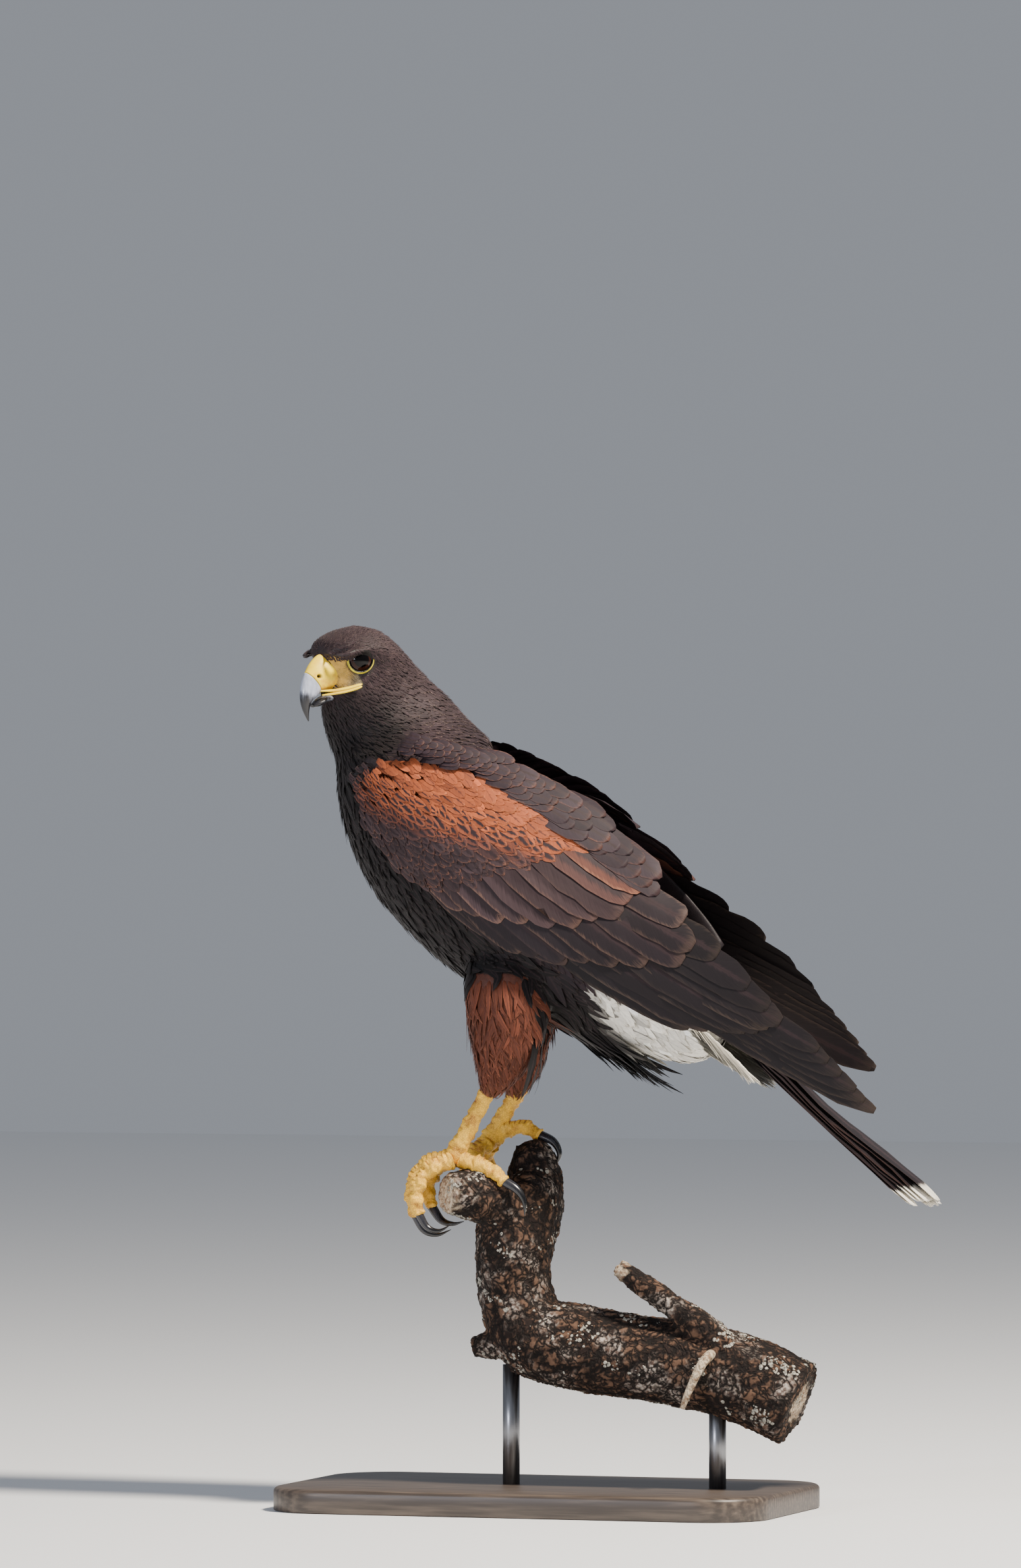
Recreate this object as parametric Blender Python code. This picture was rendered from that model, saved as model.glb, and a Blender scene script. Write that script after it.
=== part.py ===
"""A Harris's hawk standing on a cut fork of branch, life size, on a plain display stand.

Run with blender --background --python part.py, or from Blender's text editor.
The bird faces -X with its left side towards -Y, and the head is turned to its left.
The origin is the centre of the stand's underside. Sizes are written in millimetres and
become metres when a mesh is made.
"""

import math
import random

import bmesh
import bpy
import numpy as np
from mathutils import Matrix, Vector

MM = 0.001
GAP = 0.35
SEED = 7

# The stand under the branch.
BASE_LENGTH = 300.0
BASE_WIDTH = 170.0
BASE_THICK = 14.0
BASE_CORNER = 36.0
ROD_RADIUS = 5.0
ROD_SINK = 7.0
ROD_PLACES = {"stand_rod_front": -22.0, "stand_rod_back": 104.0}
ROD_TOP = {"stand_rod_front": 84.0, "stand_rod_back": 70.0}

# The vertical line that the neck turns about, and the height of the eyes.
NECK_X = -103.0
EYE_Z = 495.0
HEAD_TURN = 58.0

# Head and neck, crown to neck base: front and back point of each level ring, as forward
# distance from the neck line and height above the eyes, then half width, pinch of the
# front, and share of the head's turn.
HEAD_LEVELS = (
    ((20.5, 21.2), (18.5, 21.2), 1.2, 0.0, 1.0),
    ((34.0, 17.6), (4.2, 18.2), 13.0, -0.05, 1.0),
    ((43.2, 12.6), (-3.5, 14.0), 18.2, -0.2, 1.0),
    ((46.0, 7.4), (-10.5, 8.6), 21.2, -0.28, 1.0),
    ((46.4, 3.2), (-15.8, 4.0), 22.4, -0.05, 1.0),
    ((45.0, -3.0), (-23.5, -2.5), 23.0, 0.24, 1.0),
    ((43.4, -12.0), (-34.0, -10.5), 24.0, 0.3, 1.0),
    ((41.2, -24.0), (-47.5, -21.5), 26.0, 0.22, 0.92),
    ((37.2, -34.0), (-54.5, -31.5), 29.0, 0.1, 0.75),
    ((33.2, -44.0), (-61.5, -40.5), 33.0, 0.04, 0.5),
    ((29.6, -53.0), (-67.0, -47.0), 36.5, 0.0, 0.22),
)
HEAD_ROWS = 7
# Torso, neck base to tail coverts: breast or belly point and back point, as X and Z, then
# half width.
TORSO_LEVELS = (
    ((-130.5, 433.0), (-33.0, 443.5), 39.0),
    ((-129.0, 413.0), (-21.0, 436.0), 42.5),
    ((-121.5, 386.0), (0.0, 424.0), 46.0),
    ((-104.5, 356.0), (22.0, 410.0), 48.5),
    ((-76.0, 327.0), (43.0, 394.0), 49.0),
    ((-42.0, 303.0), (60.0, 372.0), 46.0),
    ((-6.0, 285.0), (76.0, 350.0), 40.5),
    ((28.0, 273.0), (90.0, 330.0), 33.5),
    ((54.0, 266.5), (99.0, 315.0), 27.0),
)
TAIL_BASE_LEVELS = (
    ((54.0, 266.5), (99.0, 315.0), 27.0),
    ((72.0, 262.0), (106.0, 305.0), 23.5),
    ((86.0, 260.5), (111.0, 297.0), 19.5),
    ((95.0, 264.0), (115.0, 290.0), 15.5),
)
RING_POINTS = 18

# Eyes, in head coordinates: forward from the neck line, out to the side, up.
EYE_CENTRE = (26.3, 11.8, 1.2)
EYE_RADIUS = 9.0
EYE_FORWARD_DEG = 24.0
LID_RADIUS = 7.1
LID_THICK = 1.1
LID_OUT = 6.0
BROW = ((45.6, 5.0, 4.6, 1.0), (45.8, 11.5, 4.0, 1.9), (41.5, 18.6, 4.0, 2.6), (32.0, 21.4, 6.4, 2.6),
        (20.0, 21.6, 6.6, 1.2))

# Bill, in head coordinates: upper point and lower point of each section, and half width.
CERE_SECTIONS = (
    ((40.0, 5.0), (32.0, -16.4), 9.2),
    ((46.6, 4.0), (37.4, -17.0), 9.0),
    ((52.2, -0.6), (41.8, -17.4), 8.0),
    ((56.0, -6.2), (46.2, -17.9), 6.6),
)
UPPER_BILL_SECTIONS = (
    ((56.4, -6.6), (46.6, -18.3), 6.4),
    ((58.4, -11.6), (49.4, -20.8), 5.8),
    ((59.6, -17.0), (52.0, -22.9), 4.9),
    ((59.6, -22.6), (53.5, -25.4), 3.8),
    ((58.2, -27.8), (54.2, -28.8), 2.7),
    ((56.2, -31.8), (54.1, -31.8), 1.5),
    ((54.3, -34.9), (53.8, -34.5), 0.5),
)
LOWER_BILL_SECTIONS = (
    ((37.0, -18.6), (36.0, -23.0), 7.0),
    ((43.0, -19.6), (42.2, -24.4), 6.0),
    ((48.0, -22.0), (47.2, -26.2), 4.6),
    ((51.6, -24.8), (50.8, -26.8), 2.4),
)
NOSTRIL = (50.3, -8.7)
NOSTRIL_RADIUS = 0.95
GAPE_UPPER = ((43.6, 3.0, -12.8), (41.0, 8.2, -15.9), (34.5, 12.6, -15.2), (27.3, 17.0, -13.2))
GAPE_LOWER = ((42.6, 6.4, -20.4), (37.5, 9.6, -19.6), (32.5, 13.3, -17.9), (27.4, 16.9, -14.4))
GAPE_RADIUS = 1.6

# The body line that the wings are laid out along: tau runs down it, rise stands up from
# it, towards the back.
LINE_START = (-98.0, 450.0)
LINE_DIRECTION = (0.757, -0.654)
# Half width between the folded wings, the height of their widest line and how fast they
# round over the back, along tau.
FLANK_TAU = (10.0, 30.0, 63.0, 100.0, 141.0, 180.0, 215.0, 245.0, 300.0, 380.0)
FLANK_WIDTH = (37.0, 43.5, 49.5, 52.0, 52.0, 49.5, 45.0, 40.0, 31.0, 25.0)
FLANK_RISE = (-12.0, -10.0, -14.0, -14.0, -13.0, -11.0, -6.0, 4.0, 24.0, 38.0)
FLANK_ROUND = (50.0, 54.0, 60.0, 64.0, 70.0, 76.0, 84.0, 95.0, 125.0, 160.0)
FLANK_FALL = 0.62

# The arm of the wing under its coverts: tau, lower rise, upper rise, depth outwards.
WING_ARM = (
    (14.0, -24.0, -10.0, 2.0),
    (22.0, -32.0, 2.0, 4.4),
    (36.0, -37.0, 12.0, 6.0),
    (62.0, -36.5, 24.0, 6.6),
    (92.0, -34.0, 36.0, 6.4),
    (122.0, -30.0, 44.0, 5.8),
    (150.0, -22.0, 46.0, 4.2),
    (180.0, -10.0, 45.0, 3.2),
    (208.0, 6.0, 41.0, 2.6),
    (226.0, 18.0, 36.0, 1.6),
)
ARM_INWARD = 5.0
ARM_POINTS = 10

VANE_SHAFT_THICK = 0.75
VANE_EDGE_THICK = 0.55
FEATHER_CLEAR = 0.35
ROOT_SINK = 1.3
ROOT_SHARE = 0.3
WING_FLOOR = 0.5

# Each tier of the wing, lowest feather first: roots and tips as tau and rise, spread
# evenly along their lines, and the first and last width.
WING_TIERS = {
    "primaries": (5, ((196, 4), (206, 22)),
                  ((371, 36), (357, 38.5), (340, 40.5), (320, 42)), (16.0, 16.0)),
    "secondaries": (7, ((126, -19), (150, 8), (166, 32)),
                    ((258, 3), (272, 13), (284, 23), (291, 31), (296, 39.5), (280, 43.5), (244, 45)),
                    (17.0, 20.0)),
    "greater_coverts": (6, ((96, -27), (128, 0), (150, 34)),
                        ((150, -29), (168, -18), (192, -3), (212, 12), (238, 34), (216, 46)), (17.0, 21.0)),
    "median_coverts": (5, ((66, -29), (92, 0), (112, 32)),
                       ((112, -31), (138, -18), (165, 2), (186, 22), (186, 43)), (20.0, 22.0)),
    "scapulars": (4, ((66, 20), (92, 36)), ((132, 24), (152, 33), (172, 39), (192, 41)), (19.0, 18.0)),
}
# Where along their length the vanes of each tier are shaped.
TIER_STATIONS = {
    "primaries": (0.0, 0.45, 0.88, 1.0),
    "secondaries": (0.0, 0.45, 0.88, 1.0),
    "greater_coverts": (0.0, 0.45, 0.88, 1.0),
    "median_coverts": (0.0, 0.6, 1.0),
    "scapulars": (0.0, 0.35, 0.75, 1.0),
}
FAR_WING_SHORTER = 27.0
# How far the far wing's feathers stand above the near wing's, along tau.
FAR_WING_TAU = (100.0, 150.0, 195.0, 245.0)
FAR_WING_RAISE = (0.0, -3.0, 2.5, 7.5)

# Tail: root and tip of the middle line, as X and Z.
TAIL_ROOT = (106.0, 290.0)
TAIL_TIP = (236.5, 178.5)
TAIL_FEATHERS = 12
TAIL_ROOT_SPREAD = 8.0
TAIL_TIP_SPREAD = 17.0
TAIL_DROOP = 8.0
TAIL_STEP = 7.0
RECTRIX_WIDTH = 20.0
UNDERTAIL_COVERTS = 7
UNDERTAIL_CLEAR = 6.4
UPPERTAIL_COVERTS = 4
# Dark tufts of the vent, behind the thighs: root X, Z, tip X, Z and how far each side.
VENT_TUFTS = (
    ((17.0, 286.0), (16.0, 261.0), (-19.5, -6.5, 6.5, 19.5)),
    ((27.0, 282.0), (27.0, 255.0), (-13.0, 0.0, 13.0)),
    ((40.0, 277.0), (46.0, 260.0), (-6.5, 6.5)),
)

# Legs, for the left (near) and right (far) side: hip, knee and heel of the feathered
# thigh and shank, the foot's joint, all X, Y, Z.
THIGH_LEVELS = {
    "left": (
        ((-12.0, -20.0, 334.0), 44.0, 15.0),
        ((-15.5, -27.0, 312.0), 54.0, 20.0),
        ((-13.5, -30.5, 294.0), 53.0, 20.5),
        ((-14.0, -31.0, 275.0), 45.0, 17.5),
        ((-18.0, -30.0, 259.0), 32.0, 12.5),
        ((-23.0, -29.5, 248.0), 19.0, 8.6),
        ((-26.0, -29.0, 243.0), 12.5, 6.9),
    ),
    "right": (
        ((-16.0, 20.0, 334.0), 44.0, 15.0),
        ((-23.0, 27.0, 312.0), 50.0, 20.0),
        ((-25.0, 29.5, 294.0), 48.0, 20.0),
        ((-25.0, 29.5, 275.0), 38.0, 17.0),
        ((-23.0, 28.5, 259.0), 25.0, 12.0),
        ((-26.5, 27.5, 247.0), 17.0, 8.4),
        ((-29.5, 27.0, 240.0), 13.0, 6.9),
    ),
}
THIGH_ROWS = ((52.0, 6), (37.0, 6), (22.0, 7))
THIGH_POINTS = 12
THIGH_LOCK = 30.0
THIGH_TURN_LENGTH = 120
SHANKS = {
    "left": ((-25.6, -29.0, 247.0), (-47.0, -28.5, 208.0)),
    "right": ((-26.0, 27.0, 243.5), (-44.5, 27.0, 214.0)),
}
SHANK_RADII = (4.7, 4.6, 4.8, 5.6, 4.4)
ANKLE_RADIUS = 6.2
SCUTE_COUNT = 5
SHANK_POINTS = 10
TOE_POINTS = 7

# Toes: points from the foot's joint out to the root of the claw, as X, Y, Z; then the
# points of the claw after its root. The radius falls along the toe.
TOES = {
    "left": {
        "hind": (
            ((-44.0, -28.0, 205.0), (-33.0, -27.5, 201.5), (-24.0, -27.0, 197.0),
             (-17.0, -27.0, 191.5)),
            ((-10.0, -27.0, 187.6), (-5.6, -27.0, 181.0), (-4.8, -27.5, 172.0)),
            1.15),
        "inner": (
            ((-48.0, -24.0, 205.0), (-59.0, -19.0, 201.5), (-66.0, -16.5, 193.5),
             (-68.0, -16.0, 184.0), (-65.5, -16.5, 175.5)),
            ((-59.5, -17.0, 168.5), (-52.0, -18.0, 166.5), (-45.0, -18.5, 168.0)),
            1.1),
        "middle": (
            ((-49.0, -28.5, 205.5), (-62.5, -29.0, 203.0), (-70.8, -29.5, 194.0),
             (-73.0, -30.0, 182.5), (-71.0, -30.0, 170.5)),
            ((-65.6, -30.0, 163.0), (-57.5, -29.5, 160.6), (-49.5, -29.0, 163.6)),
            1.0),
        "outer": (
            ((-47.5, -33.5, 204.5), (-58.0, -39.0, 200.0), (-65.0, -42.0, 190.5),
             (-66.5, -42.5, 180.5), (-65.0, -42.0, 172.5)),
            ((-60.0, -41.5, 165.5), (-53.0, -41.0, 163.4), (-46.0, -40.0, 167.0)),
            0.9),
    },
    "right": {
        "hind": (
            ((-42.0, 27.0, 215.0), (-33.0, 27.0, 220.5), (-22.0, 27.0, 221.6), (-12.6, 26.5, 217.0)),
            ((-4.4, 26.0, 213.5), (-0.6, 25.5, 206.0), (-4.4, 24.6, 197.5)),
            1.15),
        "inner": (
            ((-45.0, 22.5, 211.5), (-49.0, 15.0, 207.5), (-51.5, 10.0, 199.0), (-50.0, 7.5, 189.5)),
            ((-44.0, 7.0, 182.6), (-37.0, 7.0, 180.6), (-31.0, 7.5, 183.0)),
            1.1),
        "middle": (
            ((-46.5, 27.0, 212.0), (-54.0, 28.0, 206.5), (-58.0, 28.5, 197.0),
             (-57.0, 28.5, 186.0), (-52.5, 28.5, 176.5)),
            ((-46.0, 28.0, 169.6), (-38.5, 28.0, 168.6), (-31.5, 28.0, 172.0)),
            1.0),
        "outer": (
            ((-45.0, 32.0, 211.5), (-49.5, 39.0, 207.0), (-51.0, 44.0, 198.5), (-48.5, 46.0, 188.5)),
            ((-43.0, 46.0, 181.0), (-36.5, 45.0, 179.4), (-30.5, 43.5, 182.0)),
            0.9),
    },
}
TOE_ROOT_RADIUS = 5.0
TOE_TIP_RADIUS = 3.6
TOE_KNUCKLE = 0.45
CLAW_RADIUS = 2.7
CLAW_POINTS = 5

# The branch, as X, Y, Z and radius along each stretch.
PERCH_STRETCHES = {
    "trunk": (
        ((-8.0, 8.0, 192.0), 14.0), ((-13.0, 3.0, 178.0), 19.5), ((-19.0, 0.0, 160.0), 24.0),
        ((-20.5, 0.0, 138.0), 22.0), ((-16.5, 0.0, 117.0), 22.0), ((-7.0, 0.0, 101.0), 24.5),
        ((12.0, 0.0, 95.0), 26.0), ((36.0, 0.0, 92.0), 25.5), ((64.0, 0.0, 88.0), 25.5),
        ((94.0, 1.0, 84.0), 25.5), ((124.0, 2.0, 76.0), 26.5), ((152.0, 3.0, 64.0), 26.0),
    ),
    "near_prong": (
        ((-14.0, 0.0, 166.0), 15.0), ((-26.0, -14.0, 178.0), 16.0), ((-40.0, -27.0, 183.5), 14.5),
        ((-50.0, -36.0, 184.5), 11.5),
    ),
    "far_prong": (
        ((-14.0, 4.0, 165.0), 19.0), ((-13.0, 15.0, 184.0), 18.0), ((-16.0, 23.0, 201.0), 14.5),
        ((-20.0, 26.5, 210.0), 9.0),
    ),
    "lower_knob": (
        ((-12.0, -2.0, 104.0), 13.0), ((-30.0, -4.0, 96.0), 9.5), ((-44.0, -6.0, 94.0), 6.0),
    ),
    "snag": (
        ((118.0, -6.0, 84.0), 12.0), ((104.0, -12.0, 104.0), 9.0), ((84.0, -13.0, 118.0), 8.0),
        ((64.0, -12.0, 130.5), 7.0), ((47.0, -11.0, 142.0), 4.6),
    ),
    "bare_twig": (
        ((108.0, -12.0, 96.0), 3.4), ((103.0, -27.0, 88.0), 2.8), ((96.0, -31.0, 72.0), 2.2),
        ((92.0, -31.0, 62.0), 1.5),
    ),
}
PERCH_RING_POINTS = 9
BARK_ROUGH = 0.055


def clear_scene():
    """Removes whatever the file holds, so that the model stands alone."""
    for thing in list(bpy.data.objects):
        bpy.data.objects.remove(thing)


def material(name, colour, roughness, metallic=0.0):
    """A plain finish for one kind of surface."""
    made = bpy.data.materials.new(name)
    made.use_nodes = True
    shader = made.node_tree.nodes["Principled BSDF"]
    shader.inputs["Base Color"].default_value = (*colour, 1.0)
    shader.inputs["Roughness"].default_value = roughness
    shader.inputs["Metallic"].default_value = metallic
    return made


def mesh_object(name, points, faces, collection=None):
    """A mesh object from points in millimetres, its faces turned outwards."""
    mesh = bpy.data.meshes.new(name)
    mesh.from_pydata([Vector(p) * MM for p in points], [], faces)
    shape = bmesh.new()
    shape.from_mesh(mesh)
    bmesh.ops.recalc_face_normals(shape, faces=shape.faces)
    shape.to_mesh(mesh)
    shape.free()
    made = bpy.data.objects.new(name, mesh)
    (collection or bpy.context.scene.collection).objects.link(made)
    return made


def loft(name, rings, collection=None):
    """A closed skin through rings that have equally many points, with a fan on each end."""
    count = len(rings[0])
    points = [p for ring in rings for p in ring]
    faces = []
    for level in range(len(rings) - 1):
        low, high = level * count, (level + 1) * count
        for i in range(count):
            j = (i + 1) % count
            faces.append((low + i, low + j, high + j))
            faces.append((low + i, high + j, high + i))
    for start in (0, (len(rings) - 1) * count):
        points.append(np.mean(points[start:start + count], axis=0))
        middle = len(points) - 1
        faces += [(start + i, start + (i + 1) % count, middle) for i in range(count)]
    return mesh_object(name, points, faces, collection)


def smooth_rows(rows, steps):
    """Rows of numbers with a smooth curve drawn through them, steps to each stretch."""
    rows = np.asarray(rows, float)
    padded = np.vstack([2 * rows[0] - rows[1], rows, 2 * rows[-1] - rows[-2]])
    made = []
    for i in range(len(rows) - 1):
        a, b, c, d = padded[i:i + 4]
        for step in range(steps):
            t = step / steps
            made.append(0.5 * (2 * b + (c - a) * t + (2 * a - 5 * b + 4 * c - d) * t**2
                               + (3 * b - a - 3 * c + d) * t**3))
    return np.array([*made, rows[-1]])


def tube_rings(path, radii, count, squash=1.0, turn=0.0):
    """Round rings square to a path, without twist; squash narrows them one way."""
    path = [Vector(p) for p in path]
    ahead = [(path[min(i + 1, len(path) - 1)] - path[max(i - 1, 0)]).normalized() for i in range(len(path))]
    side = ahead[0].orthogonal().normalized()
    rings = []
    for point, way, radius in zip(path, ahead, radii):
        side = (side - way * side.dot(way)).normalized()
        up = way.cross(side)
        ring = []
        for i in range(count):
            angle = math.tau * i / count + turn
            out = side * math.cos(angle) + up * (squash * math.sin(angle))
            ring.append(point + out * radius)
        rings.append(ring)
    return rings


def baked(thing):
    """Applies every modifier of an object by taking its evaluated mesh."""
    bpy.context.view_layer.update()
    mesh = bpy.data.meshes.new_from_object(thing.evaluated_get(bpy.context.evaluated_depsgraph_get()))
    thing.modifiers.clear()
    old = thing.data
    thing.data = mesh
    bpy.data.meshes.remove(old)
    return thing


def spread(verts):
    """The size of the box round some points, to compare closed surfaces by."""
    spots = np.array([vert.co for vert in verts])
    return float(np.linalg.norm(spots.max(axis=0) - spots.min(axis=0)))


def keep_largest(thing):
    """Keeps the biggest closed surface of a mesh and drops any loose scrap."""
    shape = bmesh.new()
    shape.from_mesh(thing.data)
    left = set(shape.verts)
    islands = []
    while left:
        edge = [left.pop()]
        island = set(edge)
        while edge:
            vert = edge.pop()
            for link in vert.link_edges:
                other = link.other_vert(vert)
                if other in left:
                    left.discard(other)
                    island.add(other)
                    edge.append(other)
        islands.append(island)
    biggest = max(islands, key=spread)
    scraps = [v for island in islands if island is not biggest for v in island]
    bmesh.ops.delete(shape, geom=scraps, context="VERTS")
    shape.to_mesh(thing.data)
    shape.free()
    return thing


def joined(body, pieces):
    """Joins loose closed pieces to a body with one Boolean union, and removes them."""
    if not pieces:
        return body
    group = bpy.data.collections.new(body.name + "_pieces")
    for piece in pieces:
        for holder in list(piece.users_collection):
            holder.objects.unlink(piece)
        group.objects.link(piece)
    bpy.context.scene.collection.children.link(group)
    union = body.modifiers.new("join", "BOOLEAN")
    union.operation = "UNION"
    union.solver = "MANIFOLD"
    union.operand_type = "COLLECTION"
    union.collection = group
    baked(body)
    for piece in list(group.objects):
        bpy.data.objects.remove(piece)
    bpy.data.collections.remove(group)
    return keep_largest(body)


def cut(body, tools, solver="MANIFOLD"):
    """Takes closed tool shapes out of a body, and removes them."""
    for tool in tools:
        cutting = body.modifiers.new("cut", "BOOLEAN")
        cutting.operation = "DIFFERENCE"
        cutting.solver = solver
        cutting.object = tool
        tool.hide_render = True
    baked(body)
    for tool in tools:
        bpy.data.objects.remove(tool)
    return keep_largest(body)


def level_ring(front, back, half_width, pinch, turn, grow=0.0):
    """One ring of the body: front and back point in the middle plane, as forward distance
    from the neck line and height, then turned about the neck line."""
    front, back = np.array(front), np.array(back)
    along = (front - back) / np.linalg.norm(front - back)
    front, back = front + along * grow, back - along * grow
    half_width = half_width + grow
    turn = math.radians(turn)
    ring = []
    for i in range(RING_POINTS):
        angle = math.tau * i / RING_POINTS
        share = (1 + math.cos(angle)) / 2
        forward, height = back + (front - back) * share
        side = half_width * math.sin(angle) * (1 - pinch * share**1.5)
        ring.append((NECK_X - forward * math.cos(turn) + side * math.sin(turn),
                     -forward * math.sin(turn) - side * math.cos(turn), height))
    return ring


def level_rows(levels):
    """Levels given as X and Z, told as forward distance from the neck line and height."""
    return [[NECK_X - front[0], front[1], NECK_X - back[0], back[1], half_width, 0.0, 0.0]
            for front, back, half_width in levels]


def body_rows():
    """Every level of head, neck and torso in one table of numbers, crown first."""
    rows = []
    for front, back, half_width, pinch, share in HEAD_LEVELS:
        ends = [front[0], front[1] + EYE_Z, back[0], back[1] + EYE_Z]
        rows.append([*ends, half_width, pinch, share * HEAD_TURN])
    return rows + level_rows(TORSO_LEVELS)


def rings_of(rows, grow=0.0):
    return [level_ring(r[0:2], r[2:4], max(r[4], 0.6), r[5], r[6], grow) for r in rows]


def moved_along(ring, next_ring, distance):
    """A ring shifted a little towards the next one, square to its own plane."""
    ring = [Vector(p) for p in ring]
    middle = sum(ring, Vector()) / len(ring)
    normal = (ring[0] - middle).cross(ring[len(ring) // 4] - middle).normalized()
    onward = sum((Vector(p) for p in next_ring), Vector()) / len(next_ring) - middle
    if normal.dot(onward) < 0:
        normal = -normal
    return [p + normal * distance for p in ring]


def head_point(forward, side, up):
    """A point of the turned head, side positive to the bird's left."""
    turn = math.radians(HEAD_TURN)
    return Vector((NECK_X - forward * math.cos(turn) + side * math.sin(turn),
                   -forward * math.sin(turn) - side * math.cos(turn), EYE_Z + up))


def make_body():
    """Head, neck and torso lofted as one form and parted by two thin cuts."""
    rows = smooth_rows(body_rows(), 2)
    head_end = HEAD_ROWS * 2
    neck_end = len(HEAD_LEVELS) * 2
    head_rings = rings_of(rows[:head_end + 1])
    neck_rings = rings_of(rows[head_end:neck_end + 1])
    torso_rings = rings_of(rows[neck_end:])
    neck_rings[0] = moved_along(neck_rings[0], neck_rings[1], GAP)
    torso_rings[0] = moved_along(torso_rings[0], torso_rings[1], GAP)
    return loft("head", head_rings), loft("neck", neck_rings), loft("torso", torso_rings)


def grown_torso():
    rows = smooth_rows(body_rows(), 2)
    return loft("torso_cutter", rings_of(rows[len(HEAD_LEVELS) * 2 - 2:], GAP))


def grown_head():
    rows = smooth_rows(body_rows(), 2)
    return loft("head_cutter", rings_of(rows[:HEAD_ROWS * 2 + 4], GAP))


def eye_normal(side):
    away = math.radians(EYE_FORWARD_DEG)
    start = head_point(0, 0, 0)
    return (head_point(math.sin(away), side * math.cos(away), 0) - start).normalized()


def sphere(name, centre, radius, rings=8, segments=12, direction=None):
    shape = bmesh.new()
    bmesh.ops.create_uvsphere(shape, u_segments=segments, v_segments=rings, radius=radius)
    turn = Vector((0, 0, 1)).rotation_difference(direction or Vector((0, 0, 1))).to_matrix().to_4x4()
    bmesh.ops.transform(shape, matrix=Matrix.Translation(centre) @ turn, verts=shape.verts)
    mesh = bpy.data.meshes.new(name)
    bmesh.ops.scale(shape, vec=(MM, MM, MM), verts=shape.verts)
    shape.to_mesh(mesh)
    shape.free()
    made = bpy.data.objects.new(name, mesh)
    bpy.context.scene.collection.objects.link(made)
    return made


def eyeball(name, side, grow=0.0):
    centre = head_point(EYE_CENTRE[0], side * EYE_CENTRE[1], EYE_CENTRE[2])
    return sphere(name, centre, EYE_RADIUS + grow, 9, 14, eye_normal(side))


def lid_ring(side):
    """The raised rim of the lids round one eye."""
    centre = head_point(EYE_CENTRE[0], side * EYE_CENTRE[1], EYE_CENTRE[2]) + eye_normal(side) * LID_OUT
    normal = eye_normal(side)
    flat = normal.orthogonal().normalized()
    up = normal.cross(flat)
    rings = []
    for i in range(14):
        angle = math.tau * i / 14
        out = flat * math.cos(angle) + up * math.sin(angle)
        ring = []
        for j in range(5):
            tilt = math.tau * j / 5
            reach = LID_RADIUS + LID_THICK * math.cos(tilt)
            ring.append(centre + out * reach + normal * (LID_THICK * math.sin(tilt)))
        rings.append(ring)
    count = len(rings)
    points = [p for ring in rings for p in ring]
    faces = []
    for i in range(count):
        here, onward = 5 * i, 5 * ((i + 1) % count)
        faces += [(here + j, here + (j + 1) % 5, onward + (j + 1) % 5, onward + j) for j in range(5)]
    return mesh_object("lid", points, faces)


def finish_head(head):
    """Adds brows and lids to the head and cuts the eye sockets."""
    pieces = brows()
    for side in (1, -1):
        pieces.append(lid_ring(side))
    joined(head, pieces)
    cut(head, [eyeball("socket", side, GAP) for side in (1, -1)])
    return head


def bill_rings(sections, count, grow=0.0):
    """Rings of the bill: an egg between the ridge of the bill and its cutting edge."""
    rings = []
    for upper, lower, half_width in sections:
        upper, lower = np.array(upper), np.array(lower)
        along = (upper - lower) / max(np.linalg.norm(upper - lower), 1e-6)
        upper, lower = upper + along * grow, lower - along * grow
        ring = []
        for i in range(count):
            angle = math.tau * i / count
            share = (1 + math.cos(angle)) / 2
            forward, up = lower + (upper - lower) * share
            side = (half_width + grow) * math.sin(angle) * (1 - 0.3 * share)
            ring.append(head_point(forward, side, up))
        rings.append(ring)
    return rings


def brows(grow=0.0):
    """The ridges over the eyes."""
    made = []
    for side in (1, -1):
        rows = smooth_rows([(f, side * s, u, r) for f, s, u, r in BROW], 2)
        path = [head_point(*row[:3]) for row in rows]
        made.append(loft("brow", tube_rings(path, [row[3] + grow for row in rows], 6)))
    return made


def lips(grow=0.0):
    """The fleshy edges of the mouth, which meet at its corners."""
    made = []
    for side in (1, -1):
        for line in (GAPE_UPPER, GAPE_LOWER):
            radii = [GAPE_RADIUS * (1 - 0.2 * i / (len(line) - 1)) + grow for i in range(len(line))]
            made.append(loft("lip", tube_rings([head_point(f, side * s, u) for f, s, u in line], radii, 5)))
    return made


def make_bill():
    """Cere with the lips, upper bill and lower bill, each fitted to what it grows from."""
    cere = joined(loft("cere", bill_rings(CERE_SECTIONS, 14)), lips())
    nostrils = []
    for side in (1, -1):
        path = [head_point(NOSTRIL[0], side * out, NOSTRIL[1]) for out in (3.4, 12.0)]
        nostrils.append(loft("nostril", tube_rings(path, (NOSTRIL_RADIUS, NOSTRIL_RADIUS), 6)))
    cut(cere, [joined(grown_head(), brows(GAP)), *nostrils])
    upper = loft("bill_upper", bill_rings(UPPER_BILL_SECTIONS, 12))
    lower = loft("bill_lower", bill_rings(LOWER_BILL_SECTIONS, 10))
    cut(lower, [grown_head(), *lips(GAP)])
    return cere, upper, lower


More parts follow.
